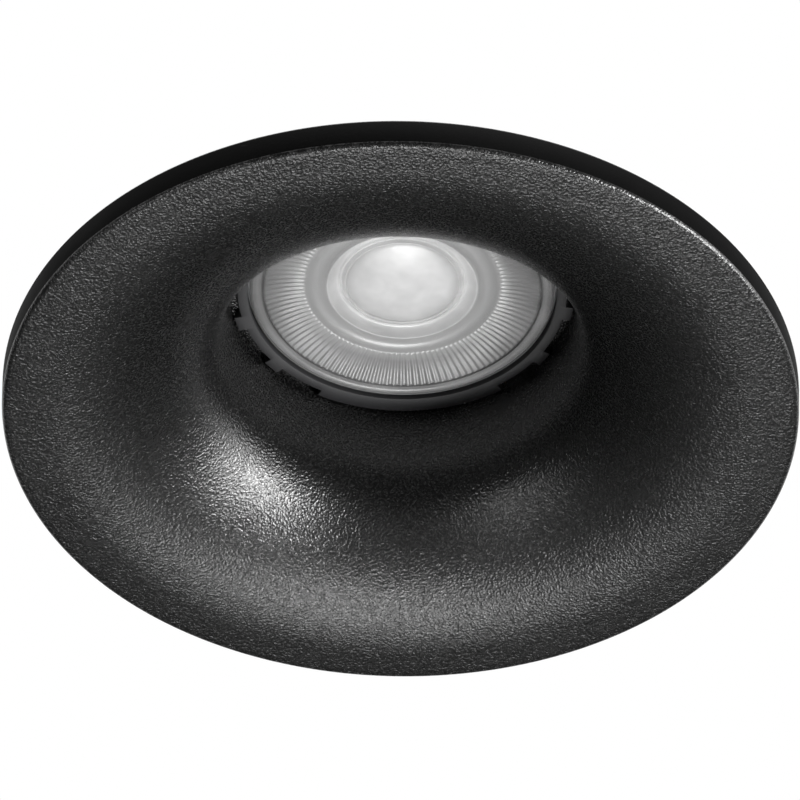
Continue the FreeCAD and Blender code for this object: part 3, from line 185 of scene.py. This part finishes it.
def makeShadedSideCoat():  # painted shade: a darker, even and dull copy of the coat for the casting's side wall, with almost no specular reflection
    g = Graph("sideCoat")
    grain = g.noise(powderCoat["grain"], 2.0, 0.55)
    patch = wearOf(g)
    return g.surface(
        Base_Color=g.blend(patch, grey(powderCoat["base"] * 0.6), grey(powderCoat["base"])),
        Roughness=0.55 + patch * 0.08,
        Specular_IOR_Level=0.02,
        Normal=g.bump(grain, powderCoat["grainHeight"] * 0.2))


mouldedPlastic = {"roughness": 0.45, "grain": 3200.0, "grainHeight": 0.00001}


def makeMouldedPlastic(name, tone, roughness=None, grainHeight=None):
    g = Graph(name)
    grain = g.noise(mouldedPlastic["grain"], 2.0, 0.6)
    patch = wearOf(g)
    rough = mouldedPlastic["roughness"] if roughness is None else roughness
    return g.surface(
        Base_Color=g.blend(patch, opaque(tone), opaque(tone, 0.86)),
        Roughness=rough + grain * 0.1 + patch * 0.05,
        Normal=g.bump(grain, grainHeight or mouldedPlastic["grainHeight"]))


brushedMetal = {"lineStretch": (260.0, 260.0, 9000.0), "lineHeight": 0.000004}


def makeMetal(name, tone, roughness=0.3, spangle=0.0, metallic=1.0):
    g = Graph(name)
    lines = g.noise(1.0, 3.0, 0.6, g.stretched(brushedMetal["lineStretch"]))
    patch = wearOf(g, 700.0 / 12)
    dull = opaque(tone, 0.72)
    colour = g.blend(patch * 0.6, opaque(tone), dull)
    rough = roughness + patch * 0.14 + lines * 0.06
    if spangle:
        flake = g.node("ShaderNodeSeparateColor", None, {0: g.cells(spangle, 1)})
        colour = g.blend(flake * 0.35, colour, dull)
        rough = rough + flake * 0.12
    return g.surface(
        Base_Color=colour,
        Metallic=metallic,
        Roughness=rough,
        Normal=g.bump(lines, brushedMetal["lineHeight"]))


def makeCeramic():
    g = Graph("steatite")
    pores = g.spread(g.cells(2600.0), 0.0, 0.22)
    stain = wearOf(g, 500.0 / 12)
    colour = g.blend(stain, (0.72, 0.69, 0.62, 1.0), (0.62, 0.585, 0.51, 1.0))
    return g.surface(
        Base_Color=g.blend(pores, (0.42, 0.39, 0.34, 1.0), colour),
        Roughness=0.62 - pores * 0.1,
        Normal=g.bump(pores, 0.00002))


def makeRubber(name, tone):
    g = Graph(name)
    grain = g.noise(5200.0, 2.0, 0.7)
    bloom = wearOf(g, 800.0 / 12)
    pale = tuple(channel + 0.02 for channel in tone) + (1.0,)
    return g.surface(
        Base_Color=g.blend(bloom * 0.7, opaque(tone), pale),
        Roughness=0.72 + grain * 0.12,
        Specular_IOR_Level=0.35,
        Normal=g.bump(grain, 0.000012))


stripeHeights = (95.6, 95.9)


def makeLead(name, tone, stripe=None):  # silicone sleeve, glossy and slightly uneven
    g = Graph(name)
    uneven = g.noise(600.0, 2.0, 0.5)
    colour = g.blend(uneven, opaque(tone), opaque(tone, 0.8))
    if stripe:
        height = g.node("ShaderNodeSeparateXYZ", None, {0: g.place()}, 2) / mm
        band = g.spread(height, *stripeHeights)
        colour = g.blend(band, colour, opaque(stripe))
    return g.surface(
        Base_Color=colour,
        Roughness=0.38 + uneven * 0.1,
        Normal=g.bump(uneven, 0.00003))


def makeBoard(name, tone):  # solder mask with fine copper tracks under it
    g = Graph(name)
    tracks = g.spread(g.cells(420.0), 0.28, 0.34)
    light = tuple(min(1.0, channel * 1.35 + 0.02) for channel in tone) + (1.0,)
    return g.surface(
        Base_Color=g.blend(tracks, light, opaque(tone)),
        Roughness=0.35 + tracks * 0.08,
        Normal=g.bump(tracks, 0.00002))


def makeFoam():
    g = Graph("cellFoam")
    cells = g.cells(2400.0)
    return g.surface(
        Base_Color=g.blend(g.spread(cells, 0.0, 0.5), (0.045, 0.045, 0.048, 1.0), (0.12, 0.12, 0.125, 1.0)),
        Roughness=0.9 - cells * 0.1,
        Normal=g.bump(cells, 0.00012))


def makePhosphor():
    g = Graph("phosphor")
    grain = g.noise(4200.0, 2.0, 0.6)
    return g.surface(
        Base_Color=g.blend(grain, (0.86, 0.66, 0.16, 1.0), (0.93, 0.79, 0.32, 1.0)),
        Roughness=0.4 + grain * 0.1,
        Normal=g.bump(grain, 0.00001))


lens = {
    "domeRadius": 9.7, "domeTop": 1.3, "domeDepth": 2.5,
    "beads": (8.9, 9.7), "beadHeight": 0.22, "beadHalf": 0.26,
    "collar": 11.6, "collarDepth": 1.5, "annulusOut": 15.1, "annulusDepth": 1.35, "annulusSag": 0.5,
    "ribsOut": 21.4, "ribsDepth": 0.25, "ribHeight": 0.2, "ribSag": 0.25,
    "rimIn": 21.65, "rimOut": 23.7, "rimDepth": 0.2, "rimSag": 0.25, "edge": 0.6, "plate": 2.7, "cone": 9.7,
    "ribCount": 120, "turnSteps": 480, "groove": 0.45, "grooveSide": 0.06,
}


def makeLensPlastic():
    g = Graph("lensPlastic")
    spot = g.place()
    flat = g.node("ShaderNodeVectorMath", {"operation": "MULTIPLY"}, {0: spot, 1: (1.0, 1.0, 0.0)})
    radius = g.node("ShaderNodeVectorMath", {"operation": "LENGTH"}, {0: flat}, 1) / (lens["rimOut"] * mm)
    # painted light and shade: each ring of the lens gets the brightness it shows under the light, a bright
    # dome and collar, a darker annulus, ribs and rim, and a near-black painted shadow in the groove ring
    paintedLightZones = g.node("ShaderNodeValToRGB", {"stops": [
        (0.0, 1.0), (0.04, 0.95), (0.30, 0.90), (0.36, 0.70), (0.41, 0.95), (0.49, 0.80), (0.51, 0.46),
        (0.62, 0.42), (0.64, 0.50), (0.72, 0.26), (0.89, 0.18), (0.905, 0.02), (0.915, 0.02), (0.925, 0.22),
        (1.0, 0.16)]},
        {0: radius})
    cloud = g.noise(130.0, 3.0, 0.5, spot)
    shade = g.blend(g.spread(cloud, 0.4, 0.62, 0.0, 0.35), paintedLightZones, grey(0.4))
    return g.surface(
        Base_Color=shade,
        Roughness=0.30 + cloud * 0.16,
        Specular_IOR_Level=0.5,
        Coat_Weight=0.3,
        Coat_Roughness=0.16,
        Metallic=0.08)


def makeLensGlass():
    g = Graph("lensGlass")
    clear = g.node("ShaderNodeBsdfTransparent", None, {"Color": grey(0.97)})
    haze = g.noise(90.0, 3.0, 0.5)
    shine = g.node("ShaderNodeBsdfPrincipled", None, {
        "Base Color": grey(0.8), "Roughness": 0.06 + haze * 0.06,
        "Transmission Weight": 0.0, "Metallic": 0.0})
    facing = g.node("ShaderNodeFresnel", None, {"IOR": 1.49})
    return g.finish(g.node("ShaderNodeMixShader", None, {0: facing + haze * 0.02, 1: clear, 2: shine}))


hardEdge = {"angle": 40.0, "segments": 2, "profile": 0.5}
weld = 1e-7


def roundEdges(bm, width):  # softens every hard edge of a piece
    bm.normal_update()
    hard = [edge for edge in bm.edges if len(edge.link_faces) == 2
            and edge.calc_face_angle() > math.radians(hardEdge["angle"])]
    bmesh.ops.bevel(bm, geom=hard, offset=width * mm, offset_type="OFFSET", segments=hardEdge["segments"],
                    profile=hardEdge["profile"], affect="EDGES", material=-1, clamp_overlap=True)


def newObject(name, bm, material):
    mesh = bpy.data.meshes.new(name)
    bm.to_mesh(mesh)
    bm.free()
    mesh.materials.append(material)
    made = bpy.data.objects.new(name, mesh)
    bpy.context.scene.collection.objects.link(made)
    return made


def newPiece(name, bm, material, body, crease=38.0):
    bmesh.ops.remove_doubles(bm, verts=bm.verts, dist=weld)
    bmesh.ops.recalc_face_normals(bm, faces=bm.faces)
    for edge in bm.edges:
        edge.smooth = edge.calc_face_angle(0.0) < math.radians(crease)
    for face in bm.faces:
        face.smooth = True
    piece = newObject(name, bm, material)
    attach(piece, body)
    return piece


def addLine(bm, points):  # an open run of edges through (radius, height) points in the XZ plane
    verts = [bm.verts.new((x * mm, 0.0, z * mm)) for x, z in points]
    edges = [bm.edges.new(pair) for pair in zip(verts, verts[1:])]
    return verts + edges


def turnVerts(bm, verts, degrees):  # about the object's axis
    bmesh.ops.rotate(bm, verts=verts, cent=(0, 0, 0), matrix=Matrix.Rotation(math.radians(degrees), 3, "Z"))


def turnLine(bm, points, steps, angle=360.0, start=0.0, closed=False):
    geom = addLine(bm, points)
    verts = [item for item in geom if isinstance(item, bmesh.types.BMVert)]
    if closed:
        geom.append(bm.edges.new((verts[-1], verts[0])))
    turnVerts(bm, verts, start)
    whole = angle == 360.0
    if closed and not whole:
        geom.append(bm.faces.new(verts))
    bmesh.ops.spin(bm, geom=geom, cent=(0, 0, 0), axis=(0, 0, 1), angle=math.radians(angle), steps=steps,
                   use_merge=whole)


def arcPoints(centre, radius, first, last, count):
    spots = []
    for step in range(count + 1):
        angle = math.radians(first + (last - first) * step / count)
        spots.append((centre[0] + radius * math.cos(angle), centre[1] + radius * math.sin(angle)))
    return spots


def lensHeight(depth):
    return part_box("lamp_optic")[0].z / mm + depth


def sagged(first, last, sag, count):  # a shallow hollow between two points of the relief
    run = []
    for step in range(count + 1):
        share = step / count
        radius = first[0] + (last[0] - first[0]) * share
        depth = first[1] + (last[1] - first[1]) * share + sag * 4 * share * (1 - share)
        run.append((radius, lensHeight(depth)))
    return run


def makeLensRelief(material):
    bm = bmesh.new()
    reach, rise = lens["domeRadius"], lens["domeDepth"] - lens["domeTop"]
    profile = []
    for step in range(15):
        radius = (lens["beads"][0] - 0.5) * step / 14
        profile.append((radius, lensHeight(lens["domeTop"] + rise * (radius / reach) ** 2)))
    for radius in lens["beads"]:  # two fine beads round the dome
        depth = lens["domeTop"] + rise * (radius / reach) ** 2
        for share in (-1.0, -0.5, 0.0, 0.5, 1.0):
            lift = lens["beadHeight"] * (1 - share ** 2)
            profile.append((radius + share * lens["beadHalf"], lensHeight(depth - lift)))
    profile += sagged((reach + 0.4, lens["domeDepth"]), (lens["collar"] - 0.25, lens["collarDepth"]), 0.15, 6)
    profile += arcPoints((lens["collar"], lensHeight(lens["collarDepth"])), 0.2, 200, 340, 5)
    profile += sagged((lens["collar"] + 0.3, lens["collarDepth"] + 0.1),
                      (lens["annulusOut"] - 0.1, lens["annulusDepth"] + 0.1), lens["annulusSag"], 10)
    profile += sagged((lens["annulusOut"], lens["annulusDepth"]), (lens["ribsOut"], lens["ribsDepth"]),
                      lens["ribSag"], 12)
    profile += [(lens["ribsOut"] + lens["grooveSide"], lensHeight(lens["ribsDepth"] + lens["groove"])),
                (lens["rimIn"] - lens["grooveSide"], lensHeight(lens["rimDepth"] + lens["groove"]))]
    profile += sagged((lens["rimIn"], lens["rimDepth"]), (lens["rimOut"] - lens["edge"], lens["rimDepth"]),
                      lens["rimSag"], 6)
    profile += [(lens["rimOut"] - 0.12, lensHeight(lens["edge"] + 0.1)),
                (lens["rimOut"] - 0.12, lensHeight(lens["plate"])), (0.0, lensHeight(lens["cone"]))]
    turnLine(bm, profile, lens["turnSteps"])
    bmesh.ops.remove_doubles(bm, verts=bm.verts, dist=weld)
    first, last = lens["annulusOut"] * mm, lens["ribsOut"] * mm
    deepest = lensHeight(lens["annulusDepth"] + lens["ribSag"] + 0.2) * mm
    for vert in bm.verts:  # the band's fine radial ribs
        radius = math.hypot(vert.co.x, vert.co.y)
        if first - 1e-6 < radius < last + 1e-6 and vert.co.z < deepest:
            turn = math.atan2(vert.co.y, vert.co.x) * lens["ribCount"]
            fade = min(1.0, 0.25 + (radius - first) / (0.8 * mm))
            vert.co.z += (1 - math.cos(turn)) / 2 * lens["ribHeight"] * mm * fade
    return newPiece("lensRelief", bm, material, "lamp", crease=60.0)


def makeLensFront(material):
    bm = bmesh.new()
    turnLine(bm, [(0.0, lensHeight(0.0)), (8.0, lensHeight(0.0)), (16.0, lensHeight(0.0)),
                  (lens["rimOut"] - lens["edge"], lensHeight(0.0)),
                  (lens["rimOut"] - 0.15, lensHeight(lens["edge"] * 0.4)),
                  (lens["rimOut"], lensHeight(lens["edge"])),
                  (lens["rimOut"], lensHeight(lens["edge"] + 0.4))], lens["turnSteps"] // 4)
    bmesh.ops.remove_doubles(bm, verts=bm.verts, dist=weld)
    return newPiece("lensFront", bm, material, "lamp")


def makeLens():
    relief = makeLensRelief(makeLensPlastic())
    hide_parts("lamp_optic")
    front = makeLensFront(makeLensGlass())
    print("lens made")


trim = {
    "face": 60.0, "back": 60.162, "front": -4.65, "edgeRound": 0.8, "land": 54.6,
    "bell": 33.0, "bellHeight": 28.35, "lipSlope": 42.2,
    "throat": 15.3, "throatAt": (42.71, 15.23), "throatSlope": 85.0,
    "bore": 27.0, "boreStart": 19.0, "seat": 24.5, "latchTop": 26.3, "latch": 25.9,
    "collar": 29.4, "collarTop": 29.5, "wall": 2.2, "recess": -2.45, "rim": 58.162,
    "skirtIn": 47.5, "skirtOut": 49.5, "skirtTop": 7.2, "turnSteps": 288,
    "notch": 24.0, "notchAt": 58.3, "corner": 0.3,
    "hinge": (44.5, 11.5), "ear": 3.4, "earLow": 6.3, "earHigh": 8.8, "pinHole": 1.3,
    "boss": (34.5, 41.5), "bossTop": 10.0, "bossAngle": 16.0,
}


def wallMiddle(radius):  # height of the middle of the casting wall over a radius
    reach = trim["bell"] - trim["wall"] / 2
    return trim["bellHeight"] - math.sqrt(reach ** 2 - (trim["land"] - radius) ** 2)


def makeTrimShell(material):
    bm = bmesh.new()
    bellAt, throatAt = (trim["land"], trim["bellHeight"]), trim["throatAt"]
    slope, end = trim["lipSlope"], trim["throatSlope"]
    profile = arcPoints((trim["face"] - trim["edgeRound"], trim["front"] + trim["edgeRound"]),
                        trim["edgeRound"], -2, -90, 6)
    profile += [(trim["face"] - 2.0, trim["front"]), (57.0, trim["front"])]
    profile += arcPoints(bellAt, trim["bell"], 270, 270 - slope, 28)
    profile += arcPoints(throatAt, trim["throat"], 270 - slope, 270 - end, 18)[1:]
    profile += [(trim["bore"], trim["boreStart"]), (trim["bore"], trim["seat"]),
                (trim["bore"], trim["collarTop"]), (trim["collar"], trim["collarTop"]),
                (trim["collar"], trim["boreStart"])]
    profile += arcPoints(throatAt, trim["throat"] - trim["wall"], 270 - end, 270 - slope, 10)
    profile += arcPoints(bellAt, trim["bell"] - trim["wall"], 270 - slope, 270, 14)[1:]
    profile += [(trim["rim"], trim["recess"]), (trim["rim"], 0.0), (trim["back"], 0.0)]
    turnLine(bm, profile, trim["turnSteps"], closed=True)
    roundEdges(bm, trim["corner"])
    for turn in (0.0, 180.0):  # the latch lip, open at its two notches
        first = trim["notchAt"] + trim["notch"] / 2 + turn
        turnLine(bm, [(trim["latch"], trim["seat"]), (trim["bore"] + 0.1, trim["seat"]),
                      (trim["bore"] + 0.1, trim["latchTop"]), (trim["latch"], trim["latchTop"])],
                 78, 180.0 - trim["notch"], first, closed=True)
    shell = newPiece("trimCasting", bm, material, "housing")
    # painted shade: the side wall faces take the darker, nearly non-reflecting copy of the coat
    shell.data.materials.append(makeShadedSideCoat())
    for face in shell.data.polygons:
        reach = math.hypot(face.center.x, face.center.y)
        if reach > (trim["face"] - 0.1) * mm and abs(face.normal.z) < 0.3:
            face.material_index = 1
    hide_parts("trim")
    return shell


def makeTrimSkirt(material):
    bm = bmesh.new()
    turnLine(bm, [(trim["skirtIn"], wallMiddle(trim["skirtIn"])),
                  (trim["skirtOut"], wallMiddle(trim["skirtOut"])),
                  (trim["skirtOut"], trim["skirtTop"]), (trim["skirtIn"], trim["skirtTop"])],
             trim["turnSteps"] // 2, closed=True)
    roundEdges(bm, trim["corner"])
    return newPiece("trimSkirt", bm, material, "housing")


def makeTrimEars(material):
    bm = bmesh.new()
    x, z = trim["hinge"]
    low, high = trim["earLow"], trim["earHigh"]
    for lift, turn in ((low, 0), (-high, 0), (low, 180), (-high, 180)):
        outline = [(foot, wallMiddle(foot)) for foot in (x - trim["ear"], x + trim["ear"])]
        outline += arcPoints((x, z), trim["ear"], 0, 180, 20)
        hole = arcPoints((x, z), trim["pinHole"], 0, 345, 23)
        rims = []
        for loop in (outline, hole):
            verts = [bm.verts.new((px * mm, lift * mm, pz * mm)) for px, pz in loop]
            rims += [bm.edges.new(pair) for pair in zip(verts, verts[1:] + verts[:1])]
        face = bmesh.ops.triangle_fill(bm, edges=rims, use_beauty=True)["geom"]
        faces = [item for item in face if isinstance(item, bmesh.types.BMFace)]
        grown = bmesh.ops.extrude_face_region(bm, geom=faces)["geom"]
        tops = [item for item in grown if isinstance(item, bmesh.types.BMVert)]
        bmesh.ops.translate(bm, vec=(0, (high - low) * mm, 0), verts=tops)
        linked = list({vert for edge in rims for vert in edge.verts} | set(tops))
        if turn:
            turnVerts(bm, linked, 180.0)
    roundEdges(bm, 0.2)
    return newPiece("trimEars", bm, material, "housing")


def makeTrimBosses(material):
    bm = bmesh.new()
    low, high = trim["boss"]
    for turn in (90.0, 270.0):
        first = turn - trim["bossAngle"] / 2
        turnLine(bm, [(low, wallMiddle(low)), (high, wallMiddle(high)), (high, trim["bossTop"]),
                      (low, trim["bossTop"])], 12, trim["bossAngle"], first, closed=True)
    roundEdges(bm, 0.35)
    return newPiece("trimBosses", bm, material, "housing")


def makeTrim(material):
    for make in (makeTrimShell, makeTrimSkirt, makeTrimEars, makeTrimBosses):
        make(material)
    print("trim made")


ring = {
    "face": 22.9, "thick": 1.6, "hole": 23.9, "outer": 26.7, "slotRoot": 25.5, "slotAngle": 17.5,
    "pitch": 24.0,
    "slots": 5, "turn": -3.7, "sleeveIn": 25.0, "sleeveOut": 25.6, "sleeveTop": 27.9, "lugLow": 26.4,
    "lugOut": 26.5, "lugAngle": 20.0, "step": 0.5, "corner": 0.14,
}


def inSlot(angle):
    for side in (0.0, 180.0):
        for count in range(ring["slots"]):
            middle = side + (count - (ring["slots"] - 1) / 2) * ring["pitch"]
            if abs((angle - middle + 180.0) % 360.0 - 180.0) < ring["slotAngle"] / 2:
                return True
    return False


def makeRing(material):
    bm = bmesh.new()
    turnLine(bm, [(radius, ring["face"]) for radius in (ring["hole"], ring["slotRoot"], ring["outer"])],
             int(360 / ring["step"]), start=ring["step"] / 2)
    gone = []
    for face in bm.faces:
        middle = face.calc_center_median()
        if math.hypot(middle.x, middle.y) > ring["slotRoot"] * mm and inSlot(
                math.degrees(math.atan2(middle.y, middle.x))):
            gone.append(face)
    bmesh.ops.delete(bm, geom=gone, context="FACES")
    grown = bmesh.ops.extrude_face_region(bm, geom=bm.faces[:])["geom"]
    tops = [item for item in grown if isinstance(item, bmesh.types.BMVert)]
    bmesh.ops.translate(bm, vec=(0, 0, ring["thick"] * mm), verts=tops)
    bmesh.ops.recalc_face_normals(bm, faces=bm.faces)
    roundEdges(bm, ring["corner"])
    seat = ring["face"] + ring["thick"] - 0.02
    turnLine(bm, [(ring["sleeveIn"], seat), (ring["sleeveOut"], seat), (ring["sleeveOut"], ring["sleeveTop"]),
                  (ring["sleeveIn"], ring["sleeveTop"])], 180, closed=True)
    for turn in (90.0, 270.0):
        turnLine(bm, [(ring["sleeveIn"] + 0.3, ring["lugLow"]), (ring["lugOut"], ring["lugLow"]),
                      (ring["lugOut"], ring["sleeveTop"]), (ring["sleeveIn"] + 0.3, ring["sleeveTop"])],
                 20, ring["lugAngle"], turn - ring["lugAngle"] / 2, closed=True)
    turnVerts(bm, bm.verts, ring["turn"])
    piece = newPiece("lampRing", bm, material, "ring")
    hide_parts("lamp_ring")
    print("lamp ring made")


spring = {
    "wire": 0.6, "mean": 2.3, "pitch": 1.7, "turns": 5, "tailAngle": 30.0,
    "hinge": (44.5, 0.0, 11.5), "leg": 9.0, "tail": 9.6, "ring": 12, "stepsPerTurn": 28,
}


def makeSpring(side, material):
    first = math.radians(spring["tailAngle"] - 90.0)
    last = first - math.radians(spring["tailAngle"]) + math.tau * spring["turns"]
    steps = int(spring["stepsPerTurn"] * (last - first) / math.tau)
    hub = Vector(spring["hinge"]) * mm
    width = spring["pitch"] * mm * (last - first) / math.tau
    bm = bmesh.new()
    made = bmesh.ops.create_circle(bm, segments=spring["ring"], radius=spring["wire"] * mm)
    ring = made["verts"]
    start = hub + Vector((math.cos(first), 0.0, math.sin(first))) * spring["mean"] * mm
    start.y = -width / 2
    flat = Vector((-math.sin(first), 0.0, math.cos(first)))
    turn = flat.to_track_quat("Z", "Y").to_matrix()
    bmesh.ops.transform(bm, matrix=Matrix.Translation(start) @ turn.to_4x4(), verts=ring)
    tailRing = bmesh.ops.duplicate(bm, geom=ring + [e for e in bm.edges])["geom"]
    tailVerts = [v for v in tailRing if isinstance(v, bmesh.types.BMVert)]
    tailEdges = [e for e in tailRing if isinstance(e, bmesh.types.BMEdge)]
    bmesh.ops.translate(bm, vec=flat * -spring["tail"] * mm, verts=tailVerts)
    ringEdges = [e for e in bm.edges if e not in tailEdges]
    bmesh.ops.bridge_loops(bm, edges=tailEdges + ringEdges)
    out = bmesh.ops.spin(bm, geom=ring + ringEdges, cent=hub, axis=(0, -1, 0), angle=last - first,
                         steps=steps, dvec=(0.0, width / steps, 0.0), use_merge=False)
    endEdges = [e for e in out["geom_last"] if isinstance(e, bmesh.types.BMEdge)]
    legDirection = Vector((-math.sin(last), 0.0, math.cos(last)))
    grown = bmesh.ops.extrude_edge_only(bm, edges=endEdges)["geom"]
    legVerts = [v for v in grown if isinstance(v, bmesh.types.BMVert)]
    bmesh.ops.translate(bm, vec=legDirection * spring["leg"] * mm, verts=legVerts)
    bmesh.ops.remove_doubles(bm, verts=bm.verts, dist=weld)
    openEdges = [e for e in bm.edges if len(e.link_faces) == 1]
    bmesh.ops.holes_fill(bm, edges=openEdges, sides=0)
    if side == "left":
        turnVerts(bm, bm.verts, 180.0)
    bmesh.ops.recalc_face_normals(bm, faces=bm.faces)
    piece = newObject("coil_" + side, bm, material)
    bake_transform(piece)
    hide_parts("clip_spring_" + side)
    return piece


def makeFinishes():
    steel = makeMetal("zincedSteel", (0.62, 0.62, 0.60), 0.30)
    brass = makeMetal("brass", (0.70, 0.52, 0.24), 0.26)
    blackRubber = makeRubber("blackRubber", (0.022, 0.022, 0.023))
    boxPlastic = makeMouldedPlastic("boxPlastic", (0.035, 0.036, 0.038), 0.5, 0.00003)
    whitePlastic = makeMouldedPlastic("blockPlastic", (0.72, 0.72, 0.68), 0.35)
    ceramic = makeCeramic()
    return {
        "trim": makePowderCoat(),
        "ceiling_gasket": makeFoam(),
        "lamp_ring": makeMouldedPlastic("ringPlastic", (0.010, 0.010, 0.011), 0.5, 0.000018),
        "lamp_body": makeMetal("lampCasting", (0.70, 0.71, 0.72), 0.42, 0.0, 0.85),
        "led_board": makeBoard("lampBoard", (0.80, 0.80, 0.78)),
        "led_chips": makePhosphor(),
        "driver_board": makeBoard("driverBoard", (0.04, 0.20, 0.09)),
        "driver_components": makeMouldedPlastic("componentCase", (0.03, 0.03, 0.035), 0.3),
        "lamp_base": makeMouldedPlastic("lampBase", (0.78, 0.78, 0.75), 0.32),
        "lamp_pins": makeMetal("nickel", (0.72, 0.70, 0.66), 0.2),
        "socket_body": ceramic,
        "socket_cover": ceramic,
        "socket_contacts": brass,
        "bridge": makeMetal("galvanised", (0.56, 0.58, 0.59), 0.34, 170.0),
        "terminal_box": boxPlastic,
        "terminal_cover": boxPlastic,
        "terminal_block": whitePlastic,
        "terminal_sleeves": brass,
        "cord_grip": whitePlastic,
        "inlet_grommet": blackRubber,
        "earth_tag": brass,
        "earth_screw": brass,
        "live_lead": makeLead("brownLead", (0.19, 0.07, 0.03)),
        "neutral_lead": makeLead("blueLead", (0.03, 0.12, 0.36)),
        "earth_lead": makeLead("earthLead", (0.50, 0.48, 0.04), (0.05, 0.30, 0.06)),
        "clip_pad": blackRubber,
        "clip_arm": makeMetal("springSheet", (0.46, 0.47, 0.48), 0.27),
        "screws": steel,
        "wire": makeMetal("springWire", (0.50, 0.50, 0.49), 0.24),
    }


def dressNodes(finishes):
    for name, node in nodes.items():
        family = name.replace("_right", "").replace("_left", "")
        if family in finishes:
            finish = finishes[family]
        elif "screw" in name or "pin" in name:
            finish = finishes["screws"]
        else:
            finish = finishes["wire"]
        node.data.materials.clear()
        node.data.materials.append(finish)
    print("finishes on", len(nodes), "nodes")


view = {
    "distance": 0.72, "below": 42.24, "roll": -0.853, "focal": 214.1,
    "centreX": 400.49, "centreY": 404.88, "imageSide": 800,
}


def makeCamera():
    data = bpy.data.cameras.new("camera")
    camera = bpy.data.objects.new("camera", data)
    bpy.context.scene.collection.objects.link(camera)
    data.lens = view["focal"]
    data.shift_x = (view["imageSide"] / 2 - view["centreX"]) / view["imageSide"]
    data.shift_y = (view["centreY"] - view["imageSide"] / 2) / view["imageSide"]
    data.clip_start = 0.01
    data.clip_end = 50.0
    angle = math.radians(view["below"])
    forward = Vector((0.0, math.cos(angle), math.sin(angle)))
    upward = Vector((0.0, -math.sin(angle), math.cos(angle)))
    axes = Matrix((forward.cross(upward), upward, -forward)).transposed()
    tilt = Matrix.Rotation(-math.radians(view["roll"]), 3, "Z")
    camera.matrix_world = Matrix.Translation(forward * -view["distance"]) @ (axes @ tilt).to_4x4()
    bpy.context.scene.camera = camera
    print("camera placed")


lamps = {
    "key": {"toward": (0.77, -0.13, -0.58), "distance": 0.9, "level": 6.3, "size": 0.36},
    "edge": {"toward": (0.985, 0.0, -0.17), "distance": 0.9, "level": 1.35, "size": 0.30},
    "side": {"toward": (-0.68, -0.30, -0.67), "distance": 0.9, "level": 0.6, "size": 0.20},
    "low": {"toward": (0.06, 0.32, -0.945), "distance": 0.85, "level": 1.7, "size": 0.28},
    "top": {"toward": (0.15, -0.25, 1.0), "distance": 1.3, "level": 2.6, "size": 0.9},
}


def makeLamps():
    for name, lamp in lamps.items():
        data = bpy.data.lights.new(name, "AREA")
        data.shape = "DISK"
        data.size = lamp["size"]
        data.energy = lamp["level"] * math.pi * lamp["distance"] ** 2
        light = bpy.data.objects.new(name, data)
        bpy.context.scene.collection.objects.link(light)
        toward = Vector(lamp["toward"]).normalized()
        light.location = toward * lamp["distance"]
        light.rotation_euler = toward.to_track_quat("Z", "Y").to_euler()
        light.visible_camera = False
    print("lamps placed")


stage = {
    "ceilingGap": 0.0002, "cutOut": 0.052, "reach": 6.0, "floorHeight": -2.2, "floorTone": 0.8,
    "ambient": 0.03,
}


def makeCeilingPaint():
    g = Graph("ceilingPaint")
    rays = g.tree.nodes.new("ShaderNodeLightPath")
    seen = Wire(g, rays.outputs["Is Camera Ray"]) + Wire(g, rays.outputs["Is Glossy Ray"])
    seen = seen + Wire(g, rays.outputs["Is Transmission Ray"])
    white = g.node("ShaderNodeEmission", None, {"Color": grey(1.0), "Strength": 1.0})
    paint = g.node("ShaderNodeBsdfDiffuse", None, {"Color": grey(0.85)})
    front = g.node("ShaderNodeMixShader", None, {0: seen, 1: paint, 2: white})
    clear = g.node("ShaderNodeBsdfTransparent")
    behind = g.node("ShaderNodeNewGeometry", output=6)
    through = g.node("ShaderNodeMath", {"operation": "MAXIMUM"},
                     {0: behind, 1: Wire(g, rays.outputs["Is Shadow Ray"])})
    return g.finish(g.node("ShaderNodeMixShader", None, {0: through, 1: front, 2: clear}))


def makeFloorPaint():
    g = Graph("floorPaint")
    cloud = g.noise(3.0, 3.0, 0.5)
    return g.surface(Base_Color=g.blend(cloud, grey(stage["floorTone"]), grey(stage["floorTone"] * 0.95)),
                     Roughness=0.8)


def makePlane(name, height, material, hole=0.0):
    bm = bmesh.new()
    if hole:  # the soffit board, cut out behind the face ring and seen from below
        geom = addLine(bm, [(hole / mm, height / mm), (stage["reach"] / mm, height / mm)])
        bmesh.ops.spin(bm, geom=geom, cent=(0, 0, 0), axis=(0, 0, 1), angle=math.tau, steps=96,
                       use_merge=True)
    else:
        bmesh.ops.create_grid(bm, x_segments=1, y_segments=1, size=stage["reach"])
        bmesh.ops.translate(bm, vec=(0.0, 0.0, height), verts=bm.verts)
    bm.normal_update()
    upright = [face for face in bm.faces if (face.normal.z > 0) == bool(hole)]
    bmesh.ops.reverse_faces(bm, faces=upright)
    newObject(name, bm, material)


def makeStage():
    makePlane("ceiling", stage["ceilingGap"], makeCeilingPaint(), stage["cutOut"])
    makePlane("floor", stage["floorHeight"], makeFloorPaint())
    world = bpy.data.worlds.new("studio")
    world.use_nodes = True
    world.node_tree.nodes["Background"].inputs["Color"].default_value = grey(1.0)
    world.node_tree.nodes["Background"].inputs["Strength"].default_value = stage["ambient"]
    bpy.context.scene.world = world
    print("stage set")


finishes = makeFinishes()
dressNodes(finishes)
makeTrim(finishes["trim"])
makeRing(finishes["lamp_ring"])
makeLens()
for side in ("right", "left"):
    makeSpring(side, finishes["wire"])
print("springs made")
makeStage()
makeLamps()
makeCamera()
bpy.context.scene.view_settings.view_transform = "Standard"
